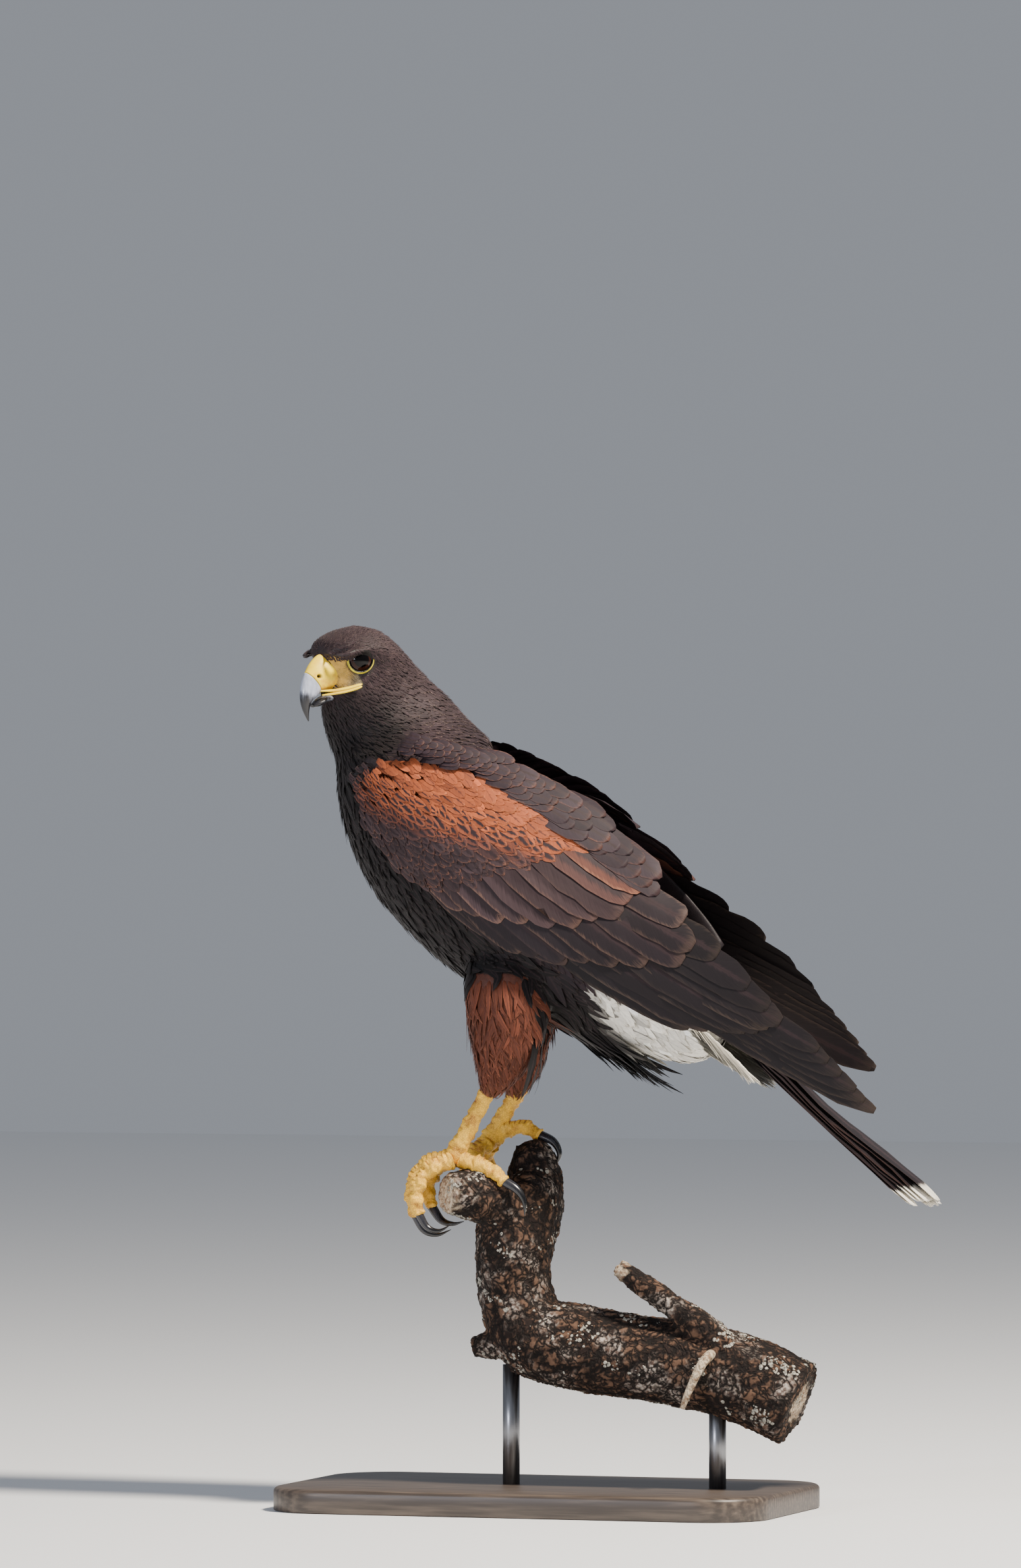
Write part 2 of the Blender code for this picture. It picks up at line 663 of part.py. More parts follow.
def flank_point(tau, rise, height, side):
    """A point over the folded wing's lie: along the body line, up from it, and out from
    the flank."""
    def surface(t, r):
        width = np.interp(t, FLANK_TAU, FLANK_WIDTH)
        middle = np.interp(t, FLANK_TAU, FLANK_RISE)
        rounding = np.interp(t, FLANK_TAU, FLANK_ROUND)
        out = width * (1 - FLANK_FALL * ((r - middle) / rounding) ** 2)
        x = LINE_START[0] + t * LINE_DIRECTION[0] - r * LINE_DIRECTION[1]
        z = LINE_START[1] + t * LINE_DIRECTION[1] + r * LINE_DIRECTION[0]
        return np.array([x, -out, z])
    here = surface(tau, rise)
    along = surface(tau + 6.0, rise) - surface(tau - 6.0, rise)
    across = surface(tau, rise + 2.0) - surface(tau, rise - 2.0)
    normal = np.cross(across, along)
    normal /= np.linalg.norm(normal)
    if normal[1] > 0:
        normal = -normal
    point = here + normal * height
    return (point[0], point[1] * side, point[2])


class Bed:
    """How high the things already laid on a surface stand, on a grid one millimetre wide
    along and across it, so that each further feather can be laid clear over them."""

    def __init__(self, low, high, floor, wrap=False):
        self.low = np.array(low, float)
        self.count = (np.array(high) - self.low).astype(int) + (0 if wrap else 1)
        self.top = np.full(self.count, float(floor))
        self.wrap = wrap

    def cells(self, spots):
        i = np.clip(np.rint(spots[:, 0] - self.low[0]).astype(int), 0, self.count[0] - 1)
        j = np.rint(spots[:, 1] - self.low[1]).astype(int)
        return i, (j % self.count[1] if self.wrap else np.clip(j, 0, self.count[1] - 1))

    def samples(self, rows):
        """Spots all over a feather, and each one's share of every height that shapes it."""
        spots, weights = [], []
        for row in range(len(rows) - 1):
            a, b = rows[row], rows[row + 1]
            steps = max(3, int(np.linalg.norm(b[0] - a[0]) / 1.5))
            for step in range(steps + 1):
                t = step / steps
                centre = a[0] * (1 - t) + b[0] * t
                across = a[1] * a[2] * (1 - t) + b[1] * b[2] * t
                for c in np.linspace(-1.0, 1.0, 15):
                    spots.append(centre + across * c)
                    weight = np.zeros((len(rows), 3))
                    side = 0 if c < 0 else 2
                    for place, share in ((row, 1 - t), (row + 1, t)):
                        weight[place, side] += share * abs(c)
                        weight[place, 1] += share * (1 - abs(c))
                    weights.append(weight.ravel())
        return np.array(spots), np.array(weights)

    def lay(self, rows, root_height, lift=0.0):
        """Heights of a feather's points: sunk at the root, and clear over all before it."""
        spots, weights = self.samples(rows)
        shares = weights.reshape(len(spots), len(rows), 3).sum(axis=2) @ np.array([row[3] for row in rows])
        need = self.top[self.cells(spots)] + VANE_SHAFT_THICK / 2 + FEATHER_CLEAR + lift
        need[shares < ROOT_SHARE] = -99.0
        start = self.top.min() + VANE_SHAFT_THICK / 2 + lift
        heights = np.array([[start if row[3] > 0 else root_height] * 3 for row in rows], float).ravel()
        for _ in range(60):
            short = np.maximum(need - weights @ heights, 0.0)
            if short.max() < 0.02:
                break
            lifts = (weights * short[:, None]).max(axis=0)
            lifts[:3] = 0.0
            heights += lifts
        laid = shares >= ROOT_SHARE * 0.7
        self.raise_over(spots[laid], weights[laid] @ heights)
        return heights.reshape(len(rows), 3)

    def raise_over(self, spots, heights):
        for di, dj in ((0, 0), (0.7, 0), (-0.7, 0), (0, 0.7), (0, -0.7)):
            np.maximum.at(self.top, self.cells(spots + (di, dj)), heights + VANE_SHAFT_THICK / 2)


def vane(rows, heights, place):
    """One feather: rows of centre, direction across, half width and share of the length,
    and the heights of its edges and shaft. place turns (first, second, height) into a
    point. Both faces have the same triangles."""
    points = []
    for (centre, across, half_width, share), lifts in zip(rows, heights):
        for step, lift in zip((-1.0, 0.0, 1.0), lifts):
            spot = centre + across * (half_width * step)
            thick = (VANE_SHAFT_THICK if step == 0.0 else VANE_EDGE_THICK) * (1 - 0.2 * share)
            points.append(place(spot[0], spot[1], lift + thick / 2))
            points.append(place(spot[0], spot[1], lift - thick / 2))
    faces = []
    for row in range(len(rows) - 1):
        a = row * 6
        b = a + 6
        for left, right in ((0, 2), (2, 4)):
            faces += [(a + left, a + right, b + right), (a + left, b + right, b + left)]
            faces += [(a + right + 1, a + left + 1, b + right + 1),
                      (b + right + 1, a + left + 1, b + left + 1)]
        faces += [(a, b, b + 1), (a, b + 1, a + 1), (a + 4, a + 5, b + 5), (a + 4, b + 5, b + 4)]
    last = (len(rows) - 1) * 6
    for start in (0, last):
        faces += [(start, start + 1, start + 3), (start, start + 3, start + 2),
                  (start + 2, start + 3, start + 5), (start + 2, start + 5, start + 4)]
    return mesh_object("vane", points, faces)


def feather_rows(root, tip, width, bend=0.0, stations=(0.0, 0.45, 0.88, 1.0), blunt=0.45):
    """Centre, direction across, half width and share of each station of one feather."""
    root, tip = np.array(root, float), np.array(tip, float)
    run = tip - root
    ahead = run / np.linalg.norm(run)
    across = np.array([-ahead[1], ahead[0]])
    rows = []
    for share in stations:
        shape = np.interp(share, (0.0, 0.25, 0.7, 0.88, 1.0), (0.5, 0.9, 1.0, 0.86, blunt))
        centre = root + run * share + across * (bend * 4 * share * (1 - share))
        rows.append((centre, across, width / 2 * shape, share))
    return rows


def along_line(line, share):
    """A point at a share of the way through a list of evenly spread points."""
    line = np.array(line, float)
    place = share * (len(line) - 1)
    return np.array([np.interp(place, range(len(line)), line[:, k]) for k in range(line.shape[1])])


ARM_ROWS = np.array(WING_ARM)


def arm_height(tau, rise):
    """How far out the arm's surface stands at a spot, or nothing beside it."""
    if not ARM_ROWS[0, 0] < tau < ARM_ROWS[-1, 0]:
        return -9.0
    low, high, deep = (np.interp(tau, ARM_ROWS[:, 0], ARM_ROWS[:, k]) for k in (1, 2, 3))
    share = (rise - (low + high) / 2) / ((high - low) / 2)
    return deep * math.sqrt(1 - share**2) if abs(share) < 1 else -9.0


def wing_feathers(side, shorter, raised):
    """The feathers of one wing in tiers, lowest first, each laid over those before it."""
    bed = Bed((0, -70), (400, 90), WING_FLOOR)
    for i in range(bed.count[0]):
        for j in range(bed.count[1]):
            bed.top[i, j] = max(bed.top[i, j], arm_height(i + bed.low[0], j + bed.low[1]) - FEATHER_CLEAR)
    made = []
    for name, (count, roots, tips, (width_a, width_b)) in WING_TIERS.items():
        chance = random.Random(SEED + len(name))
        for i in range(count):
            share = i / max(count - 1, 1)
            root = along_line(roots, share)
            tip = along_line(tips, share) + (chance.uniform(-1.2, 1.2), chance.uniform(-0.4, 0.4))
            if name == "primaries":
                tip[0] -= shorter
            tip[1] += raised * np.interp(tip[0], FAR_WING_TAU, FAR_WING_RAISE)
            root[1] += raised * np.interp(root[0], FAR_WING_TAU, FAR_WING_RAISE)
            rows = feather_rows(root, tip, width_a + (width_b - width_a) * share, -1.5, TIER_STATIONS[name])
            heights = bed.lay(rows, max(arm_height(*root), WING_FLOOR + ROOT_SINK) - ROOT_SINK)
            made.append(vane(rows, heights, lambda t, r, h: flank_point(t, r, h, side)))
    return made


def make_wing(name, side, shorter, raised):
    """One folded wing: the arm, and its feathers in tiers."""
    rings = []
    for tau, low, high, deep in ARM_ROWS:
        ring = []
        for i in range(ARM_POINTS):
            angle = math.tau * i / ARM_POINTS
            rise = (low + high) / 2 + (high - low) / 2 * math.cos(angle)
            out = math.sin(angle)
            ring.append(flank_point(tau, rise, out * (deep if out > 0 else ARM_INWARD), side))
        rings.append(ring)
    wing = joined(loft(name, rings), wing_feathers(side, shorter, raised))
    return cut(wing, [grown_torso()])


def tail_place(along, across, height):
    """A point of the tail: along its middle line, across it, and up from it."""
    root, tip = np.array(TAIL_ROOT), np.array(TAIL_TIP)
    ahead = (tip - root) / np.linalg.norm(tip - root)
    up = np.array([-ahead[1], ahead[0]])
    spot = root + ahead * along + up * (height - (abs(across) / 30.0) ** 2 * TAIL_DROOP)
    return (spot[0], across, spot[1])


def tail_under(along, across, height):
    """The same, with the height counted down from the tail's underside."""
    return tail_place(along, across, -height)


def undertail_depth(along, across):
    """How far the undertail coverts' round underside hangs below the tail's middle line."""
    deep = np.interp(along, (-6.0, 23.0, 52.0), (24.0, 18.5, 11.0))
    wide = np.interp(along, (-6.0, 52.0), (21.0, 22.5))
    return max(deep * math.sqrt(max(1 - (across / wide) ** 2, 0.0)), UNDERTAIL_CLEAR)


def make_tail():
    """Twelve tail feathers laid from the outer pair up to the middle one, the coverts over
    and under them, and the white base that carries the coverts."""
    rings = []
    for along, wide, deep in ((0.0, 10.0, 4.6), (6.0, 13.5, 5.2), (20.0, 14.0, 4.2), (34.0, 10.0, 2.4)):
        turns = [math.tau * i / 12 for i in range(12)]
        rings.append([tail_place(along, wide * math.cos(a), deep * math.sin(a) - 2.0) for a in turns])
    tail = loft("tail", rings)
    over = Bed((-30, -45), (190, 45), -5.0)
    length = np.linalg.norm(np.array(TAIL_TIP) - TAIL_ROOT)
    half = TAIL_FEATHERS // 2
    feathers = []
    for i in reversed(range(half)):
        share = (i + 0.5) / half
        for side in (1, -1):
            root = (10.0, side * share * TAIL_ROOT_SPREAD)
            tip = (length - TAIL_STEP * share - (0.0 if side > 0 else 1.5), side * share * TAIL_TIP_SPREAD)
            rows = feather_rows(root, tip, RECTRIX_WIDTH, stations=(0.0, 0.5, 0.9, 1.0), blunt=0.55)
            heights = over.lay(rows, -2.0)
            spots, weights = over.samples(rows)
            over.raise_over(spots, weights @ heights.ravel())
            feathers.append(vane(rows, heights, tail_place))
    joined(tail, feathers)

    rows = smooth_rows(level_rows(TAIL_BASE_LEVELS), 2)
    rings = rings_of(rows)
    rings[0] = moved_along(rings[0], rings[1], GAP)
    base = loft("tail_coverts", rings)
    rings = rings_of(rows, GAP)
    rings[-1] = moved_along(rings[-1], rings[-2], -GAP)
    cut(tail, [loft("coverts_cutter", rings)])
    for along in range(-30, 38):
        for across in range(-16, 17):
            spot = np.array([[along, across]])
            over.raise_over(spot, np.array([3.6 * math.sqrt(1 - (across / 16.5) ** 2)]))
    coverts = []
    for side_of_tail, count in (("under", UNDERTAIL_COVERTS), ("over", UPPERTAIL_COVERTS)):
        for order, i in enumerate(sorted(range(count), key=lambda k: -abs(2 * k - count + 1))):
            wide = 2 * i / (count - 1) - 1
            if side_of_tail == "under":
                rows = feather_rows((-6.0, wide * 11.0), (52.0 - 12.0 * abs(wide), wide * 16.0), 13.0,
                                    stations=(0.0, 0.5, 1.0), blunt=0.4)
                layer = (order + 1) // 2 * (VANE_SHAFT_THICK + FEATHER_CLEAR)
                lifts = [[undertail_depth(*(centre + across * (half_width * step))) + layer
                          for step in (-1.0, 0.0, 1.0)] for centre, across, half_width, _ in rows]
                coverts.append(vane(rows, lifts, tail_under))
            else:
                rows = feather_rows((-16.0, wide * 8.0), (38.0 - 8.0 * abs(wide), wide * 15.5), 13.0,
                                    stations=(0.0, 0.5, 1.0), blunt=0.4)
                coverts.append(vane(rows, over.lay(rows, 0.5), tail_place))
    joined(base, coverts)
    return tail, base


def thigh_rows(side):
    return np.array([[*centre, long, wide] for centre, long, wide in THIGH_LEVELS[side]])


def thigh_point(rows, down, turn, height):
    """A point of a thigh's surface: distance down from its top, way round, and out."""
    z = rows[0, 2] - down
    x, y, long, wide = (np.interp(-z, -rows[:, 2], rows[:, k]) for k in (0, 1, 3, 4))
    angle = math.tau * turn / THIGH_TURN_LENGTH
    return (x + (long / 2 + height) * math.cos(angle), y + (wide + height) * math.sin(angle), z)


def make_thigh(name, side):
    """A feathered thigh and shank, with rows of flat locks that overlap downwards."""
    rows = thigh_rows(side)
    around = [THIGH_TURN_LENGTH * i / THIGH_POINTS for i in range(THIGH_POINTS)]
    rings = [[thigh_point(rows, rows[0, 2] - row[2], turn, 0.0) for turn in around] for row in rows]
    thigh = loft(name, rings)
    deep = rows[0, 2] - rows[-1, 2]
    bed = Bed((0, 0), (int(deep) + 12, THIGH_TURN_LENGTH), 0.2, wrap=True)
    chance = random.Random(SEED + len(side))
    locks = []
    for level, (down, count) in enumerate(THIGH_ROWS):
        for i in range(count):
            middle = THIGH_TURN_LENGTH * (i + 0.5 * (level % 2)) / count
            end = min(down + THIGH_LOCK * chance.uniform(0.85, 1.1), deep + 2.0)
            shape = feather_rows((down, middle), (end, middle + chance.uniform(-2.0, 2.0)),
                                 THIGH_TURN_LENGTH / count * 0.86, stations=(0.0, 0.62, 1.0), blunt=0.3)
            heights = bed.lay(shape, -1.6)
            locks.append(vane(shape, heights, lambda a, b, h: thigh_point(rows, a, b, h)))
    joined(thigh, locks)
    top, ankle = (Vector(p) for p in SHANKS[side])
    path = [top + (top - ankle) * 0.03, ankle]
    shank = loft("shank_cutter", tube_rings(path, (SHANK_RADII[0] + GAP,) * 2, 12))
    return cut(thigh, [grown_torso(), shank])


def toe_radii(bones, count, size, grow=0.0):
    """The radius of a toe along its path, swelling between its joints."""
    radii = []
    for i in range(count):
        share = i / (count - 1)
        pad = TOE_KNUCKLE * math.cos(math.tau * share * (len(bones) - 1))
        plain = TOE_ROOT_RADIUS + (TOE_TIP_RADIUS - TOE_ROOT_RADIUS) * share
        radii.append((plain + pad) * (0.9 + 0.1 * size) + grow)
    return radii


def claw_path(bones, points):
    """The claw starts just inside its toe's end and goes on through its own points."""
    toe = smooth_rows(bones, 2)
    last, before = Vector(toe[-1]), Vector(toe[-2])
    root = last - (last - before).normalized() * 1.0
    return smooth_rows([tuple(root), *points], 2)


def claw_rings(bones, points, size, grow=0.0):
    path = claw_path(bones, points)
    shares = [i / (len(path) - 1) for i in range(len(path))]
    radii = [CLAW_RADIUS * size * (1 - share ** 1.4 * 0.88) + grow for share in shares]
    rings = tube_rings(path, radii, CLAW_POINTS, squash=0.85)
    if grow:
        rings[-1] = moved_along(rings[-1], rings[-2], -grow)
    return rings


def toe_cutter(bones, size):
    """A toe grown by the gap, all round and at its end."""
    path = smooth_rows(bones, 2)
    rings = tube_rings(path, toe_radii(bones, len(path), size, GAP), TOE_POINTS)
    rings[-1] = moved_along(rings[-1], rings[-2], -GAP)
    return loft("toe_cutter", rings)


def make_foot(name, side):
    """The bare shank with its scutes and the four toes, as one form."""
    top, ankle = (Vector(p) for p in SHANKS[side])
    shank_path = [top.lerp(ankle, t) for t in (0.0, 0.35, 0.7, 0.9, 1.04)]
    foot = loft(name, tube_rings(shank_path, SHANK_RADII, SHANK_POINTS))
    pieces = [sphere("joint", ankle + Vector((0, 0, -0.5)), ANKLE_RADIUS, 6, 8)]
    way = (ankle - top).normalized()
    front = Vector((-1, 0, 0))
    front = (front - way * front.dot(way)).normalized()
    for i in range(SCUTE_COUNT):
        centre = top.lerp(ankle, 0.3 + 0.6 * i / SCUTE_COUNT) + front * 1.0
        step = way * (top - ankle).length * 0.6 / SCUTE_COUNT * 0.42
        pieces.append(loft("scute", tube_rings([centre - step, centre + step], (3.9, 4.5), 7)))
    for toe, (bones, _, size) in TOES[side].items():
        path = smooth_rows(bones, 2)
        pieces.append(loft("toe_" + toe, tube_rings(path, toe_radii(bones, len(path), size), TOE_POINTS)))
    return joined(foot, pieces)


def make_claws(side):
    """The four claws of a foot, each a tapering hook fitted to its toe's end."""
    claws = []
    for toe, (bones, points, size) in TOES[side].items():
        claw = loft("_".join(("claw", side, toe)), claw_rings(bones, points, size))
        claws.append(cut(claw, [toe_cutter(bones, size)]))
    return claws


def add_vent(torso):
    """The dark tufts that hang behind the thighs, two rows of flat tapering locks."""
    tufts = []
    chance = random.Random(SEED + 5)
    for root, tip, places in VENT_TUFTS:
        for y in places:
            start = np.array((root[0], y * 0.92, root[1]))
            end = np.array((tip[0] + chance.uniform(-2.0, 2.0), y * 1.05,
                            tip[1] + abs(y) * 0.12 + chance.uniform(-2.0, 2.0)))
            ahead = (end - start) / np.linalg.norm(end - start)
            across = np.array((0.0, 1.0, 0.0))
            out = np.cross(across, ahead)
            length = np.linalg.norm(end - start)
            rows = feather_rows((0.0, 0.0), (length, 0.0), 11.4, stations=(0.0, 0.55, 1.0), blunt=0.25)
            heights = np.array([[0.0] * 3, [0.6, 1.0, 0.6], [0.0] * 3])
            tufts.append(vane(rows, heights,
                              lambda a, b, h: tuple(start + ahead * a + across * b + out * h)))
    return joined(torso, tufts)


def perch_rings(rows, count, rough, seed):
    """Rings of a rough round stretch of branch."""
    chance = random.Random(seed)
    phases = [chance.uniform(0, math.tau) for _ in range(2)]
    path = [row[:3] for row in rows]
    rings = tube_rings(path, [row[3] for row in rows], count)
    made = []
    for level, (ring, centre) in enumerate(zip(rings, path)):
        centre = Vector(centre)
        rough_ring = []
        for i, point in enumerate(ring):
            angle = math.tau * i / count
            swell = math.sin(3 * angle + phases[0] + level * 0.7)
            swell += 0.6 * math.sin(5 * angle + phases[1] - level * 1.1)
            rough_ring.append(centre + (point - centre) * (1 + rough * (swell + chance.uniform(-0.5, 0.5))))
        made.append(rough_ring)
    return made


def make_perch():
    """The cut fork of branch, with its prongs, knob, snag and bare twig."""
    made = {}
    for order, (name, levels) in enumerate(PERCH_STRETCHES.items()):
        rows = smooth_rows([[*centre, radius] for centre, radius in levels], 2)
        count = PERCH_RING_POINTS if name != "bare_twig" else 7
        rings = perch_rings(rows, count, BARK_ROUGH, SEED + order)
        made[name] = loft("perch" if name == "trunk" else name, rings)
    perch = made.pop("trunk")
    joined(perch, list(made.values()))
    return perch


def foot_cutters(side):
    """A foot and its claws grown by the gap, to clear the bark under them."""
    ankle = Vector(SHANKS[side][1])
    cutters = [sphere("joint_cutter", ankle + Vector((0, 0, -0.5)), ANKLE_RADIUS + GAP, 6, 8)]
    for bones, points, size in TOES[side].values():
        cutters.append(toe_cutter(bones, size))
        cutters.append(loft("claw_cutter", claw_rings(bones, points, size, GAP)))
    return cutters


def cylinder(name, centre, radius, low, high, segments=12):
    shape = bmesh.new()
    bmesh.ops.create_cone(shape, cap_ends=True, segments=segments, radius1=radius * MM, radius2=radius * MM,
                          depth=(high - low) * MM)
    mesh = bpy.data.meshes.new(name)
    shape.to_mesh(mesh)
    shape.free()
    made = bpy.data.objects.new(name, mesh)
    mesh.transform(Matrix.Translation(Vector((centre, 0.0, (low + high) / 2)) * MM))
    bpy.context.scene.collection.objects.link(made)
    return made


def make_stand(perch):
    """A flat base with rounded corners and two short rods let into base and branch."""
    outline = []
    for corner, (sx, sy) in enumerate(((1, 1), (-1, 1), (-1, -1), (1, -1))):
        for step in range(5):
            angle = math.pi / 2 * (corner + step / 4)
            outline.append((sx * (BASE_LENGTH / 2 - BASE_CORNER) + BASE_CORNER * math.cos(angle),
                            sy * (BASE_WIDTH / 2 - BASE_CORNER) + BASE_CORNER * math.sin(angle)))
    rings = [[(x * s, y * s, z) for x, y in outline]
             for s, z in ((1.0, 0.0), (1.0, BASE_THICK - 2.0), (0.985, BASE_THICK))]
    base = loft("stand_base", rings)
    rods = []
    for name, place in ROD_PLACES.items():
        rods.append(cylinder(name, place, ROD_RADIUS, BASE_THICK - ROD_SINK, ROD_TOP[name]))
        hole = ROD_RADIUS + GAP
        cut(base, [cylinder("base_hole", place, hole, BASE_THICK - ROD_SINK - GAP, BASE_THICK + 5.0)])
        cut(perch, [cylinder("perch_hole", place, hole, 10.0, ROD_TOP[name] + GAP)])
    return base, rods


def main():
    clear_scene()
    finishes = {
        "plumage_dark": material("plumage_dark", (0.045, 0.028, 0.022), 0.75),
        "plumage_rufous": material("plumage_rufous", (0.30, 0.10, 0.045), 0.75),
        "plumage_white": material("plumage_white", (0.75, 0.73, 0.70), 0.8),
        "cere_skin": material("cere_skin", (0.90, 0.58, 0.08), 0.5),
        "bill_horn": material("bill_horn", (0.20, 0.20, 0.24), 0.35),
        "eye_brown": material("eye_brown", (0.03, 0.012, 0.006), 0.05),
        "foot_skin": material("foot_skin", (0.80, 0.52, 0.12), 0.6),
        "claw_horn": material("claw_horn", (0.012, 0.012, 0.015), 0.25),
        "bark": material("bark", (0.13, 0.075, 0.055), 0.95),
        "stand_wood": material("stand_wood", (0.16, 0.15, 0.145), 0.6),
        "stand_metal": material("stand_metal", (0.25, 0.25, 0.26), 0.4, 1.0),
    }
    head, neck, torso = make_body()
    finish_head(head)
    cere, upper, lower = make_bill()
    made = {head: "plumage_dark", neck: "plumage_dark", torso: "plumage_dark",
            cere: "cere_skin", upper: "bill_horn", lower: "bill_horn"}
    for side, sign in (("left", 1), ("right", -1)):
        made[eyeball("eye_" + side, sign)] = "eye_brown"
        far = side == "right"
        wing = make_wing("wing_" + side, sign, FAR_WING_SHORTER if far else 0.0, 1.0 if far else 0.0)
        made[wing] = "plumage_dark"
        made[make_thigh("thigh_" + side, side)] = "plumage_rufous"
        made[make_foot("foot_" + side, side)] = "foot_skin"
        for claw in make_claws(side):
            made[claw] = "claw_horn"
    tail, coverts = make_tail()
    made[tail] = "plumage_dark"
    made[coverts] = "plumage_white"
    add_vent(torso)
    perch = make_perch()
    made[perch] = "bark"
    base, rods = make_stand(perch)
    cut(perch, foot_cutters("left") + foot_cutters("right"))
    made[base] = "stand_wood"
    for rod in rods:
        made[rod] = "stand_metal"
    group = bpy.data.collections.new("harris_hawk")
    bpy.context.scene.collection.children.link(group)
    for thing, finish in made.items():
        for holder in list(thing.users_collection):
            holder.objects.unlink(thing)
        group.objects.link(thing)
        thing.data.materials.clear()
        thing.data.materials.append(finishes[finish])


main()
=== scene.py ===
"""Dresses the Harris's hawk on its perch: skin, feathers, bill, eyes, feet, bark and stand.

Tables are in millimetres and repeat the part's own shapes; meshes are in metres. The bird
faces -X with its left side towards -Y, and the camera looks at its left side.
"""

import math
from functools import partial

import bmesh
import bpy
import numpy as np
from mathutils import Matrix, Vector
from mathutils.kdtree import KDTree


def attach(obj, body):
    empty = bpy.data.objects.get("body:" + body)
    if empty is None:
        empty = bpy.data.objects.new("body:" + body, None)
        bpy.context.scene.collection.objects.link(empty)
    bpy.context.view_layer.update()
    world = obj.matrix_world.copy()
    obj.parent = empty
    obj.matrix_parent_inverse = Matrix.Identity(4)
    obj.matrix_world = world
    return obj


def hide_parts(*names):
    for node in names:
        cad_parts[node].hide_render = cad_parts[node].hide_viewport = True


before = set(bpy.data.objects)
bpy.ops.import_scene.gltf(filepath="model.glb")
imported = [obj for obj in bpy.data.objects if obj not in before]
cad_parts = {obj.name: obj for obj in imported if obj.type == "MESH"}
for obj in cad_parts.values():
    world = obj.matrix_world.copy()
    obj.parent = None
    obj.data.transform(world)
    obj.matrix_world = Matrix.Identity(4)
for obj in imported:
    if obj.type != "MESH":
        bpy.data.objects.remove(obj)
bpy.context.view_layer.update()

MM = 0.001
SEED = 11
chance = np.random.default_rng(SEED)

# The photograph's frame: its size, millimetres to a pixel at the bird, the pixel of the
# origin, and where the camera stands.
PHOTO_SIZE = (1549, 2380)
PIXEL_MM = 0.385
ORIGIN_PIXEL = (830, 2290)
CAMERA_TURN = 18
CAMERA_AWAY = 6000

# The vertical line that the neck turns about, the height of the eyes and the head's turn.
NECK_X = -103
EYE_Z = 495
HEAD_TURN = 58
SIDES = (1, -1)

# Head and neck, crown to neck base: front and back point of each level as forward distance
# from the neck line and height above the eyes, then half width, pinch of the front, and
# share of the head's turn.
HEAD_LEVELS = (
    ((20.5, 21.2), (18.5, 21.2), 1.2, 0, 1),
    ((34, 17.6), (4.2, 18.2), 13, -0.05, 1),
    ((43.2, 12.6), (-3.5, 14), 18.2, -0.2, 1),
    ((46, 7.4), (-10.5, 8.6), 21.2, -0.28, 1),
    ((46.4, 3.2), (-15.8, 4), 22.4, -0.05, 1),
    ((45, -3), (-23.5, -2.5), 23, 0.24, 1),
    ((43.4, -12), (-34, -10.5), 24, 0.3, 1),
    ((41.2, -24), (-47.5, -21.5), 26, 0.22, 0.92),
    ((37.2, -34), (-54.5, -31.5), 29, 0.1, 0.75),
    ((33.2, -44), (-61.5, -40.5), 33, 0.04, 0.5),
    ((29.6, -53), (-67, -47), 36.5, 0, 0.22),
)
# Torso and tail base: front and back point as X and Z, then half width.
TORSO_LEVELS = (
    ((-130.5, 433), (-33, 443.5), 39),
    ((-129, 413), (-21, 436), 42.5),
    ((-121.5, 386), (0, 424), 46),
    ((-104.5, 356), (22, 410), 48.5),
    ((-76, 327), (43, 394), 49),
    ((-42, 303), (60, 372), 46),
    ((-6, 285), (76, 350), 40.5),
    ((28, 273), (90, 330), 33.5),
    ((54, 266.5), (99, 315), 27),
    ((72, 262), (106, 305), 23.5),
    ((86, 260.5), (111, 297), 19.5),
    ((95, 264), (115, 290), 15.5),
)
# How deep the skin lies under the coat's outer shape, level by level.
COAT_LEVELS = (0, 4, 7, 9, 12, 16, 22)
COAT_DEPTHS = (0.9, 0.9, 1.6, 2.4, 3.2, 3.6, 3)

# Eyes, brows and mouth, in head coordinates: forward, out to the side, up.
EYE_CENTRE = (26.3, 11.8, 1.2)
EYE_RADIUS = 9
EYE_FORWARD_DEG = 24
BROW = ((45.6, 5, 4.6, 1), (45.8, 11.5, 4, 1.9), (41.5, 18.6, 4, 2.6), (32, 21.4, 6.4, 2.6),
        (20, 21.6, 6.6, 1.2))
BROW_COAT = 0.9
CERE_SECTIONS = (
    ((40, 5), (32, -16.4), 9.2),
    ((46.6, 4), (37.4, -17), 9),
    ((52.2, -0.6), (41.8, -17.4), 8),
    ((56, -6.2), (46.2, -17.9), 6.6),
)
UPPER_BILL_SECTIONS = (
    ((56.4, -6.6), (46.6, -18.3), 6.4),
    ((58.4, -11.6), (49.4, -20.8), 5.8),
    ((59.6, -17), (52, -22.9), 4.9),
    ((59.6, -22.6), (53.5, -25.4), 3.8),
    ((58.2, -27.8), (54.2, -28.8), 2.7),
    ((56.2, -31.8), (54.1, -31.8), 1.5),
    ((54.3, -34.9), (53.8, -34.5), 0.5),
)
LOWER_BILL_SECTIONS = (
    ((40, -19.1), (39.1, -23), 6.2),
    ((43.6, -19.8), (42.8, -24), 5.6),
    ((48, -22), (47.2, -26.2), 4.6),
    ((51.6, -24.8), (50.8, -26.8), 2.4),
)
NOSTRIL = (50.3, -8.7)
NOSTRIL_RADIUS = 1.15
GAPE_UPPER = ((49, 5, -17.2), (41.5, 8.7, -16.8), (34.5, 12.9, -15.4), (27.3, 17, -13.1))
GAPE_LOWER = ((47.5, 4.6, -19.6), (41, 8.8, -18.5), (34.2, 12.9, -17), (27.3, 16.9, -14.5))
GAPE_RADII = (0.5, 0.95, 1, 0.95)
